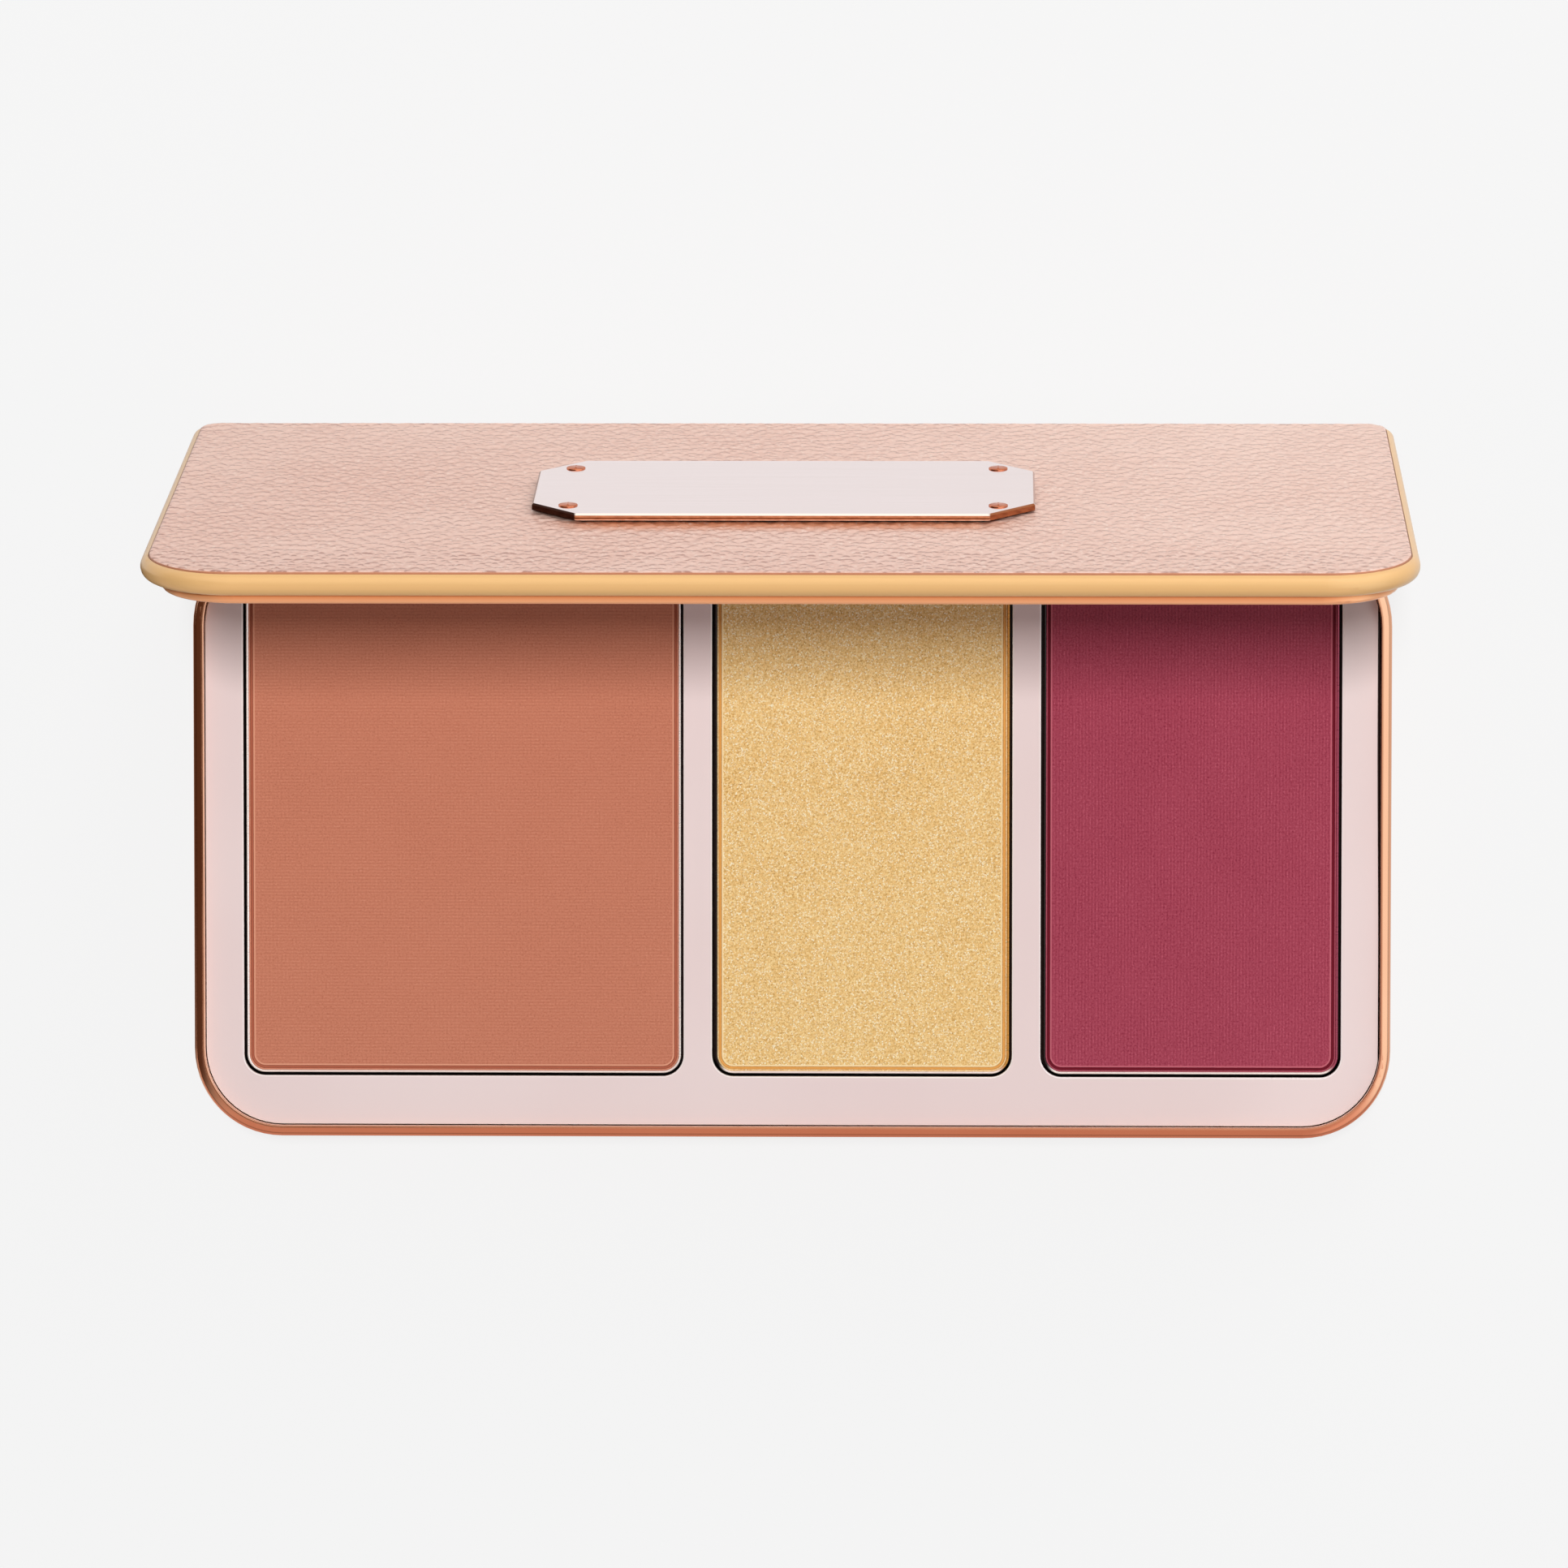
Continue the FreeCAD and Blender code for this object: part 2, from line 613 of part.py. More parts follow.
def draw_inset_outline(sketch, inset):
    """Draw the lid's outline, drawn in all round."""
    draw_rounded_rectangle(
        sketch, f"({LID_WIDTH} - 2 * {inset})", f"({LID_DEPTH} - 2 * {inset})",
        f"({LID_CORNER} - {inset})", f"(lid_back_corner - {inset})")


def add_lid_sheet(label, inset, foot, thickness):
    """Lay a thin sheet with the lid's own outline in the lid's recess."""
    body = add_body(label)
    outline = add_sketch(body, y=LID_MIDDLE, lift=foot)
    draw_inset_outline(outline, inset)
    add_pad(body, outline, thickness)
    return body


def pierce_for_rivets(body, top, depth):
    """Drill the rivet holes through a layer under the plate."""
    holes = add_sketch(body, y=PLATE_MIDDLE, lift=top)
    draw_rivet_holes(holes)
    add_pocket(body, holes, depth)


def build_leather():
    """Leather cover and the adhesive sheet under it."""
    adhesive = add_lid_sheet(
        "leather_adhesive", "(leather_inset + adhesive_inset)", RECESS_FLOOR, "adhesive_thickness")
    pierce_for_rivets(adhesive, LEATHER_FOOT, "adhesive_thickness")
    swing_open(adhesive)
    panel = add_lid_sheet(
        "leather_panel", "(leather_inset + leather_gap)", LEATHER_FOOT, "leather_thickness")
    round_level(panel, limited("leather_round", "leather_thickness", ONE_EDGE))
    pierce_for_rivets(panel, LEATHER_TOP, "leather_thickness")
    swing_open(panel)


def build_plate():
    """Bare plate with cut corners, and the adhesive sheet under it."""
    adhesive = add_body("plate_adhesive")
    patch = add_sketch(adhesive, y=PLATE_MIDDLE, lift=LEATHER_TOP)
    inset = "2 * adhesive_inset"
    draw_rectangle(patch, f"(plate_width - {inset})", f"(plate_depth - {inset})")
    add_pad(adhesive, patch, "plate_pad_thickness")
    dress_edges(adhesive, "Chamfer", "Size", "plate_chamfer", is_upright)
    pierce_for_rivets(adhesive, PLATE_FOOT, "plate_pad_thickness")
    swing_open(adhesive)

    plate = add_body("name_plate")
    outline = add_sketch(plate, y=PLATE_MIDDLE, lift=PLATE_FOOT)
    draw_rectangle(outline, "plate_width", "plate_depth")
    add_pad(plate, outline, "plate_thickness")
    dress_edges(plate, "Chamfer", "Size", "plate_chamfer", is_upright)
    top = plate.Shape.BoundBox.ZMax
    bevel = limited("plate_bevel", "plate_thickness", ONE_EDGE)
    dress_edges(plate, "Chamfer", "Size", bevel, lambda edge: is_level(edge, top))
    pierce_for_rivets(plate, PLATE_TOP, "plate_thickness")
    swing_open(plate)


def build_rivets():
    """Four domed rivets through the plate and the leather into the lid."""
    rivets = []
    depth = f"({PLATE_TOP} - {RECESS_FLOOR} + rivet_reach)"
    corners = [(x_sign, y_sign) for x_sign in "-+" for y_sign in "-+"]
    for number, (x_sign, y_sign) in enumerate(corners, start=1):
        x = f"{x_sign}{RIVET_X}"
        y = f"{PLATE_MIDDLE} {y_sign} {RIVET_Y}"
        shank = add_cylinder(
            f"rivet_shank_{number}", "rivet_shank_diameter", depth, x, y, f"{PLATE_TOP} - {depth}")
        head = doc.addObject("Part::Ellipsoid", f"rivet_head_{number}")
        head.Angle1 = 0
        bind(head, "Radius1", "rivet_head_height")
        bind(head, "Radius2", "rivet_head_diameter / 2")
        bind(head, "Radius3", "rivet_head_diameter / 2")
        for axis, formula in zip("xyz", (x, y, PLATE_TOP)):
            bind(head, f"Placement.Base.{axis}", formula)
        rivet = doc.addObject("Part::Fuse", f"rivet_{number}")
        rivet.Base = shank
        rivet.Tool = head
        rivets.append(rivet)
    swing_open(add_group("plate_rivets", rivets))


def build_mirror():
    """Mirror glass in a frame under the lid, on a sheet of tape."""
    mirror_width = f"({FRAME_WIDTH} - 2 * frame_border)"
    mirror_depth = f"({FRAME_DEPTH} - 2 * frame_border)"

    frame = add_body("mirror_frame")
    outline = add_sketch(frame, y=FRAME_MIDDLE, lift=FRAME_FOOT)
    draw_rounded_rectangle(outline, FRAME_WIDTH, FRAME_DEPTH, FRAME_CORNER)
    add_pad(frame, outline, FRAME_THICKNESS)
    frame_round = limited("frame_round", FRAME_THICKNESS, ONE_EDGE)
    round_level(frame, frame_round, top=False, bottom=True)
    opening = add_sketch(frame, y=FRAME_MIDDLE, lift=LID_FOOT)
    draw_rounded_rectangle(
        opening, f"({mirror_width} + 2 * mirror_gap)", f"({mirror_depth} + 2 * mirror_gap)",
        "(mirror_corner + mirror_gap)")
    add_pocket(frame, opening, FRAME_THICKNESS)
    swing_open(frame)

    mirror = add_body("mirror")
    glass = add_sketch(mirror, y=FRAME_MIDDLE, lift=f"{TAPE_FOOT} - mirror_thickness")
    draw_rounded_rectangle(glass, mirror_width, mirror_depth, "mirror_corner")
    add_pad(mirror, glass, "mirror_thickness")
    doc.recompute()
    face = mirror.Shape.BoundBox.ZMin
    bevel = limited("mirror_bevel", "mirror_thickness", ONE_EDGE)
    dress_edges(mirror, "Chamfer", "Size", bevel, lambda edge: is_level(edge, face))
    swing_open(mirror)

    tape = add_body("mirror_tape")
    strip = add_sketch(tape, y=FRAME_MIDDLE, lift=TAPE_FOOT)
    draw_rectangle(strip, f"({mirror_width} - 2 * tape_inset)", f"({mirror_depth} - 2 * tape_inset)")
    add_pad(tape, strip, "tape_thickness")
    swing_open(tape)


def build_lid_magnets():
    """Two disc magnets let into the lid above those of the lower case."""
    y = f"{MAGNET_Y} - {HINGE_Y}"
    discs = []
    for side, sign in (("left", "-"), ("right", "")):
        label = f"lid_magnet_{side}"
        x = f"{sign}{MAGNET_X}"
        discs.append(add_cylinder(label, "magnet_diameter", "lid_magnet_height", x, y, LID_FOOT))
    swing_open(add_group("lid_magnets", discs))


def check_document():
    """Stop if a feature failed, a cut took nothing away or a sub-part has no sound solid."""
    doc.recompute()
    for item in doc.Objects:
        if "Invalid" in item.State or "Error" in item.State:
            raise RuntimeError(f"{item.Label} failed: {item.State}")
        if item.TypeId == "PartDesign::Pocket":
            if item.Shape.Volume >= item.BaseFeature.Shape.Volume - LEVEL:
                raise RuntimeError(f"{item.Label} cuts nothing")
    for piece in pieces:
        if piece.Shape.isNull() or not piece.Shape.isValid() or not piece.Shape.Solids:
            raise RuntimeError(f"{piece.Label} has no sound solid")


def write_pieces():
    """Write each sub-part to its own file."""
    os.makedirs("parts", exist_ok=True)
    for piece in pieces:
        piece.Shape.exportStep(f"parts/{piece.Label}.step")
        box = piece.Shape.BoundBox
        print(f"{piece.Label}: {len(piece.Shape.Solids)} solid, {piece.Shape.Volume:.1f} mm3, "
              f"{box.XLength:.2f} x {box.YLength:.2f} x {box.ZLength:.2f} mm")


build_base_shell()
build_pan_tray()
for pan_name, pan_window, pan_x in PANS:
    build_pan(pan_name, pan_window, pan_x)
build_base_magnets()
build_hinge_pins()
build_lid_shell()
build_leather()
build_plate()
build_rivets()
build_mirror()
build_lid_magnets()
check_document()
write_pieces()
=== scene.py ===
"""Looks of a slim hinged face palette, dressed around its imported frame."""

import json
import logging
import math
from dataclasses import dataclass
from enum import Enum
from functools import cache
from typing import NamedTuple

import bmesh
import bpy
from mathutils import Matrix, Vector


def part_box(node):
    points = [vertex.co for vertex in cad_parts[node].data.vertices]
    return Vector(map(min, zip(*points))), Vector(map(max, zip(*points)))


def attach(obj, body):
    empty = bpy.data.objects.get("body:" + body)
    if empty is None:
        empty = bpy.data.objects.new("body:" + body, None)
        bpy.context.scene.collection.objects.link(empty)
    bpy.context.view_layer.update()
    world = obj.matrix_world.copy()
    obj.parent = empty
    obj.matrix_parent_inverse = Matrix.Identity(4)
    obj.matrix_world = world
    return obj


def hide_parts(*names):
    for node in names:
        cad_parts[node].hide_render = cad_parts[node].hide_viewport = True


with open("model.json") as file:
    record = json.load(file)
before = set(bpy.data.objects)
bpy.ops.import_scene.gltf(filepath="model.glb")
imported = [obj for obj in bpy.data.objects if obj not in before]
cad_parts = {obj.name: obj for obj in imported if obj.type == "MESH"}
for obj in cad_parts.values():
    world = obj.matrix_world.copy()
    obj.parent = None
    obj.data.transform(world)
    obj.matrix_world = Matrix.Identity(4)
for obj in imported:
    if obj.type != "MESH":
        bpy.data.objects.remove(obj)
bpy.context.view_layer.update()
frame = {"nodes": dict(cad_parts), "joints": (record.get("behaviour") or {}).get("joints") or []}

LOG = logging.getLogger("palette")
MM = 0.001

Colour = tuple[float, float, float, float]
Span = tuple[float, float]
Place = tuple[float, float, float]
Socket = bpy.types.NodeSocket

HALF: Place = (0.5, 0.5, 0.5)
WHOLE_METAL = 1.0
CLOUD_SPAN: Span = (0.3, 0.75)
NOISE_SPAN: Span = (0.3, 0.7)
SMEAR_SPAN: Span = (0.38, 0.66)
LINE_SPAN: Span = (0.35, 0.65)
SKIN_SIZE = 0.9 * MM
SKIN_DEPTH = 0.01 * MM
DRAWN_DEPTH = 0.005 * MM
DRAWN_STRENGTH = 0.06


class Body(str, Enum):
    """Bodies that the pieces ride on."""

    CASE = "base"
    LID = "lid"


class Axes(Enum):
    """Axes that a pattern lies along."""

    CASE = "case"
    LID = "lid"


class Press(Enum):
    """Ways that the pressing ribbon's lines run over a powder."""

    ALONG = 0.0
    ACROSS = 90.0


def srgb(red: int, green: int, blue: int) -> Colour:
    """Turn a screen colour into the linear colour that shaders take.

    Args:
        red: Red from 0 to 255.
        green: Green from 0 to 255.
        blue: Blue from 0 to 255.

    Returns:
        The linear colour, opaque.
    """
    def linear(level: int) -> float:
        """Turn one level from 0 to 255 into a linear share."""
        share = level / 255
        return share / 12.92 if share <= 0.04045 else ((share + 0.055) / 1.055) ** 2.4

    return (linear(red), linear(green), linear(blue), 1.0)


@dataclass(frozen=True)
class LidFrame:
    """The shut lid's own axes, measured from the hinge, and where the open lid has them."""

    pivot: Vector
    angle: float

    @classmethod
    def from_joint(cls) -> "LidFrame":
        """Read the hinge from the frame: its lower limit shuts the lid."""
        hinge = frame["joints"][0]
        return cls(Vector(hinge["pos_m"]), math.radians(-hinge["range_deg"][0]))

    def matrix(self) -> Matrix:
        """Give the matrix from the shut lid's axes to the open lid."""
        return Matrix.Translation(self.pivot) @ Matrix.Rotation(-self.angle, 4, "X")

    def box(self, node: str) -> tuple[Vector, Vector]:
        """Measure a node of the lid along the shut lid's axes.

        Args:
            node: The node's name.

        Returns:
            Its lowest and its highest corner.
        """
        inverse = self.matrix().inverted()
        points = [inverse @ vertex.co for vertex in frame["nodes"][node].data.vertices]
        low = Vector([min(point[axis] for point in points) for axis in range(3)])
        high = Vector([max(point[axis] for point in points) for axis in range(3)])
        return low, high


LID = LidFrame.from_joint()


class Graph:
    """A node tree with short calls that add nodes and join them."""

    def __init__(self, tree: bpy.types.NodeTree) -> None:
        """Hold the tree that the nodes go into."""
        self.tree = tree

    def feed(self, socket: Socket, value: object) -> None:
        """Link a socket into an input, or set the input's own value.

        Args:
            socket: The input.
            value: A socket, or a plain value.
        """
        if isinstance(value, Socket):
            self.tree.links.new(value, socket)
        else:
            socket.default_value = value

    def add(self, kind: str, inputs: dict | None = None, **options: object) -> bpy.types.Node:
        """Add a node.

        Args:
            kind: The node's type.
            inputs: What each input is fed, by the input's name or number.
            options: The node's own settings.

        Returns:
            The new node.
        """
        node = self.tree.nodes.new(kind)
        for name, value in options.items():
            setattr(node, name, value)
        for name, value in (inputs or {}).items():
            self.feed(node.inputs[name], value)
        return node

    def group(self, tree: bpy.types.NodeTree, inputs: dict) -> bpy.types.bpy_prop_collection:
        """Place a node group and give its outputs."""
        return self.add("ShaderNodeGroup", inputs, node_tree=tree).outputs

    def calc(self, operation: str, first: object, second: object = 0.0) -> Socket:
        """Join two values by a math operation."""
        return self.add("ShaderNodeMath", {0: first, 1: second}, operation=operation).outputs[0]

    def move(self, operation: str, first: object, second: object) -> Socket:
        """Join two vectors by a vector operation that gives a vector."""
        inputs = {0: first, "Scale" if operation == "SCALE" else 1: second}
        return self.add("ShaderNodeVectorMath", inputs, operation=operation).outputs["Vector"]

    def blend(self, factor: object, first: object, second: object) -> Socket:
        """Blend from the first colour to the second."""
        node = self.add("ShaderNodeMix", {0: factor, 6: first, 7: second}, data_type="RGBA")
        return node.outputs[2]

    def mix(self, factor: object, first: object, second: object) -> Socket:
        """Mix from the first value to the second."""
        return self.add("ShaderNodeMix", {0: factor, 2: first, 3: second}).outputs[0]

    def spread(self, value: object, low: object, high: object, start: object = 0.0, end: object = 1.0,
               smooth: bool = True) -> Socket:
        """Spread a value from one range over another.

        Args:
            value: The value to spread.
            low: Where the range starts.
            high: Where it ends.
            start: What the low end becomes.
            end: What the high end becomes.
            smooth: Whether the value eases in and out at the two ends.

        Returns:
            The new value.
        """
        inputs = {"Value": value, 1: low, 2: high, 3: start, 4: end}
        easing = "SMOOTHSTEP" if smooth else "LINEAR"
        return self.add("ShaderNodeMapRange", inputs, interpolation_type=easing).outputs["Result"]

    def axes(self, place: Socket) -> bpy.types.bpy_prop_collection:
        """Give a place's X, Y and Z."""
        return self.add("ShaderNodeSeparateXYZ", {0: place}).outputs

    def per(self, size: object) -> object:
        """Give the scale that makes a pattern's marks a real size."""
        return self.calc("DIVIDE", 1.0, size) if isinstance(size, Socket) else 1 / size

    def noise(self, place: Socket, size: object, detail: float = 2.0) -> bpy.types.Node:
        """Add noise whose blotches have a real size.

        Args:
            place: Coordinates in metres.
            size: The blotches' size in metres.
            detail: How many finer layers are added.

        Returns:
            The noise node.
        """
        inputs = {"Vector": place, "Scale": self.per(size), "Detail": detail}
        return self.add("ShaderNodeTexNoise", inputs)

    def cells(self, place: Socket, size: object, flat: bool = False) -> bpy.types.Node:
        """Add cells of a real size.

        Args:
            place: Coordinates in metres.
            size: The cells' size in metres.
            flat: Whether the cells are columns along Z.

        Returns:
            The cell node.
        """
        inputs = {"Vector": place, "Scale": self.per(size)}
        return self.add("ShaderNodeTexVoronoi", inputs, voronoi_dimensions="2D" if flat else "3D")

    def chances(self, cells: bpy.types.Node) -> bpy.types.bpy_prop_collection:
        """Give three random shares for each cell."""
        return self.add("ShaderNodeSeparateColor", {0: cells.outputs["Color"]}).outputs

    def place(self, axes: Axes, turn: float = 0.0) -> Socket:
        """Give coordinates in metres along the case or along the shut lid.

        Args:
            axes: Whose axes to follow.
            turn: Degrees to turn the pattern about Z, on the case.

        Returns:
            The coordinates.
        """
        coordinates = self.add("ShaderNodeTexCoord").outputs["Object"]
        if axes is Axes.LID:
            inputs = {"Vector": coordinates, "Location": LID.pivot, "Rotation": (-LID.angle, 0, 0)}
        else:
            inputs = {"Vector": coordinates, "Rotation": (0, 0, math.radians(turn))}
        return self.add("ShaderNodeMapping", inputs, vector_type="TEXTURE").outputs["Vector"]


def new_group(kind: str, name: str, inputs: dict[str, str], outputs: dict[str, str]) -> tuple:
    """Start a node group with named sockets.

    Args:
        kind: The tree's type.
        name: The group's name.
        inputs: Each input's name and socket type, without its common start.
        outputs: Each output's name and socket type, without its common start.

    Returns:
        The group's graph, the sockets of its inputs and the sockets of its outputs.
    """
    graph = Graph(bpy.data.node_groups.new(name, kind))
    for in_out, sockets in (("INPUT", inputs), ("OUTPUT", outputs)):
        for label, socket in sockets.items():
            graph.tree.interface.new_socket(label, in_out=in_out, socket_type=f"NodeSocket{socket}")
    return graph, graph.add("NodeGroupInput").outputs, graph.add("NodeGroupOutput").inputs


@cache
def handling_marks() -> bpy.types.NodeTree:
    """Build the faint smears and the fine skin of a moulded glossy surface.

    Returns:
        A group with a Roughness that wanders between two levels, and a Height for bump.
    """
    inputs = {"Vector": "Vector", "Patch": "Float", "Low": "Float", "High": "Float"}
    graph, given, result = new_group("ShaderNodeTree", "handling marks", inputs,
                                     {"Roughness": "Float", "Height": "Float"})
    smear = graph.noise(given["Vector"], given["Patch"], detail=5.0).outputs[0]
    level = graph.spread(smear, *SMEAR_SPAN, given["Low"], given["High"], smooth=False)
    graph.feed(result["Roughness"], level)
    graph.feed(result["Height"], graph.noise(given["Vector"], SKIN_SIZE).outputs[0])
    return graph.tree


@cache
def pressed_lines() -> bpy.types.NodeTree:
    """Build the lines that a pressing ribbon's weave leaves in a powder.

    Returns:
        A group with the lines' Height, from 0 to 1.
    """
    inputs = {"Vector": "Vector", "Line pitch": "Float", "Thread pitch": "Float"}
    graph, given, result = new_group("ShaderNodeTree", "pressed lines", inputs, {"Height": "Float"})
    axes = graph.axes(given["Vector"])
    drift_size = 4 * MM
    drift_turn = 2.5
    fibre_size = 0.5 * MM
    fibre_stretch = (0.2, 1.0, 1.0)
    patch_size = 3 * MM
    line_depth = (0.2, 1.5)
    thread_depth = (0.0, 0.45)
    deepest = 1.7
    drift = graph.calc("MULTIPLY", graph.noise(given["Vector"], drift_size).outputs[0], drift_turn)

    def waves(distance: Socket, pitch: Socket) -> Socket:
        """Make waves along a distance.

        Args:
            distance: The distance.
            pitch: The length of one wave.

        Returns:
            The waves, from -1 to 1.
        """
        turns = graph.calc("MULTIPLY", graph.calc("DIVIDE", distance, pitch), math.tau)
        return graph.calc("SINE", graph.calc("ADD", turns, drift))

    stretched = graph.move("MULTIPLY", given["Vector"], fibre_stretch)
    fibres = graph.noise(stretched, fibre_size, detail=3.0).outputs[0]
    patches = graph.noise(given["Vector"], patch_size, detail=3.0).outputs[0]
    lines = graph.calc("MULTIPLY", waves(axes["Y"], given["Line pitch"]),
                       graph.spread(fibres, *NOISE_SPAN, *line_depth))
    threads = graph.calc("MULTIPLY", waves(axes["X"], given["Thread pitch"]),
                         graph.spread(patches, *NOISE_SPAN, *thread_depth))
    graph.feed(result["Height"], graph.spread(graph.calc("ADD", lines, threads), -deepest, deepest))
    return graph.tree


@cache
def powder_grit() -> bpy.types.NodeTree:
    """Build the fine grain of a pressed powder.

    Returns:
        A group with a Colour that speckles between a dark and a light one, and a Height.
    """
    inputs = {"Vector": "Vector", "Dark": "Color", "Colour": "Color", "Light": "Color", "Grain": "Float"}
    graph, given, result = new_group("ShaderNodeTree", "powder grit", inputs,
                                     {"Colour": "Color", "Height": "Float"})
    cloud_size = 9 * MM
    grain_share = 0.88
    cloud_share = 0.12
    dark_span = (0.26, 0.50)
    light_span = (0.50, 0.76)
    grain = graph.noise(given["Vector"], given["Grain"], detail=3.0).outputs[0]
    cloud = graph.noise(given["Vector"], cloud_size, detail=3.0).outputs[0]
    mixed = graph.calc("ADD", graph.calc("MULTIPLY", grain, grain_share),
                       graph.calc("MULTIPLY", cloud, cloud_share))
    low = graph.blend(graph.spread(mixed, *dark_span), given["Dark"], given["Colour"])
    high = graph.blend(graph.spread(mixed, *light_span), low, given["Light"])
    graph.feed(result["Colour"], high)
    graph.feed(result["Height"], grain)
    return graph.tree


@cache
def drawn_lines() -> bpy.types.NodeTree:
    """Build the fine straight lines of drawn, rolled or polished metal.

    Returns:
        A group with a Shade from 0 to 1, a Roughness between two levels, and a Height.
    """
    inputs = {"Vector": "Vector", "Length": "Float", "Width": "Float", "Low": "Float", "High": "Float"}
    graph, given, result = new_group("ShaderNodeTree", "drawn lines", inputs,
                                     {"Shade": "Float", "Roughness": "Float", "Height": "Float"})
    stretch = graph.calc("DIVIDE", given["Width"], given["Length"])
    scale = graph.add("ShaderNodeCombineXYZ", {"X": stretch, "Y": 1.0, "Z": 1.0}).outputs[0]
    lines = graph.noise(graph.move("MULTIPLY", given["Vector"], scale), given["Width"], detail=3.0).outputs[0]
    level = graph.spread(lines, *LINE_SPAN, given["Low"], given["High"], smooth=False)
    graph.feed(result["Shade"], graph.spread(lines, *LINE_SPAN))
    graph.feed(result["Roughness"], level)
    graph.feed(result["Height"], lines)
    return graph.tree


def hide_pattern(graph: Graph, place: Socket, size: object) -> Socket:
    """Give the pattern of a pebbled hide, for its solid form and for its shading alike.

    Args:
        graph: The tree that the nodes go into.
        place: Coordinates in metres, with Z off the hide.
        size: A pebble's size in metres.

    Returns:
        The pebbles' height, from 0 in the creases to 1.
    """
    bend_size = 1.2 * MM
    bend_reach = 0.9 * MM
    stretch = (1.25, 1.0, 1.0)
    crease_distance = 0.8
    bend = graph.noise(place, bend_size).outputs[1]
    offset = graph.move("SCALE", graph.move("SUBTRACT", bend, HALF), bend_reach)
    bent = graph.move("ADD", graph.move("MULTIPLY", place, stretch), offset)
    distance = graph.cells(bent, size, flat=True).outputs["Distance"]
    return graph.spread(distance, 0.0, crease_distance, 1.0, 0.0)


class Marks(NamedTuple):
    """Handling marks on a moulded surface: the smears' size, the roughness range and the skin's strength."""

    patch: float
    low: float
    high: float
    skin: float


@dataclass(frozen=True)
class Finish:
    """A surface's looks, under the name of its material."""

    name: str

    def material(self) -> bpy.types.Material:
        """Build the finish's material, which has one shader.

        Returns:
            The material.
        """
        material = bpy.data.materials.new(self.name)
        material.use_nodes = True
        material.node_tree.nodes.clear()
        graph = Graph(material.node_tree)
        shader = graph.add("ShaderNodeBsdfPrincipled")
        graph.add("ShaderNodeOutputMaterial", {"Surface": shader.outputs[0]})
        self.paint(graph, shader)
        return material

    def paint(self, graph: Graph, shader: bpy.types.Node) -> None:
        """Feed the finish into its shader."""
        raise NotImplementedError

    def fill(self, graph: Graph, shader: bpy.types.Node, inputs: dict[str, object]) -> None:
        """Feed the shader's inputs, by their names."""
        for name, value in inputs.items():
            graph.feed(shader.inputs[name], value)

    def gloss(self, graph: Graph, shader: bpy.types.Node, place: Socket, marks: Marks) -> None:
        """Feed a moulded surface's smears and skin into the shader.

        Args:
            graph: The material's graph.
            shader: The material's shader.
            place: Coordinates in metres.
            marks: The surface's handling marks.
        """
        inputs = {"Vector": place, "Patch": marks.patch, "Low": marks.low, "High": marks.high}
        surface = graph.group(handling_marks(), inputs)
        graph.feed(shader.inputs["Roughness"], surface["Roughness"])
        if marks.skin:
            self.relief(graph, shader, surface["Height"], SKIN_DEPTH, marks.skin)

    def relief(self, graph: Graph, shader: bpy.types.Node, height: Socket, depth: float,
               strength: float) -> None:
        """Feed a bump into the shader.

        Args:
            graph: The material's graph.
            shader: The material's shader.
            height: The relief from 0 to 1.
            depth: What a height of 1 stands for, in metres.
            strength: How much of the bump shows.
        """
        bump = graph.add("ShaderNodeBump", {"Height": height, "Distance": depth, "Strength": strength})
        graph.feed(shader.inputs["Normal"], bump.outputs["Normal"])


@dataclass(frozen=True)
class Metallised(Finish):
    """Moulded plastic under a bright metal film."""

    colour: Colour
    deep: Colour
    marks: Marks
    cloud: float = 22 * MM

    def paint(self, graph: Graph, shader: bpy.types.Node) -> None:
        """Feed the finish into its shader.

        Args:
            graph: The material's graph.
            shader: The material's shader.
        """
        place = graph.place(Axes.CASE)
        tint = graph.spread(graph.noise(place, self.cloud).outputs[0], *CLOUD_SPAN)
        face = graph.blend(tint, self.colour, self.deep)
        self.fill(graph, shader, {"Base Color": face, "Metallic": WHOLE_METAL})
        self.gloss(graph, shader, place, self.marks)


@dataclass(frozen=True)
class SatinEdge(Finish):
    """Satin metal film on the lid, with painted light that makes it paler towards the mirror's side."""

    colour: Colour
    lit_foot: Colour
    top: float
    bottom: float
    metallic: float
    marks: Marks

    def paint(self, graph: Graph, shader: bpy.types.Node) -> None:
        """Feed the finish into its shader.

        Args:
            graph: The material's graph.
            shader: The material's shader.
        """
        place = graph.place(Axes.LID)
        # Painted light: the colour turns paler towards the shell's underside.
        share = graph.spread(graph.axes(place)["Z"], self.bottom, self.top, 1.0, 0.0)
        face = graph.blend(share, self.colour, self.lit_foot)
        self.fill(graph, shader, {"Base Color": face, "Metallic": self.metallic})
        self.gloss(graph, shader, place, self.marks)


class ShadowLine(NamedTuple):
    """A painted shadow line along a right-hand edge, which widens from the front to the back."""

    end: float
    front: float
    back: float
    narrow: float
    wide: float


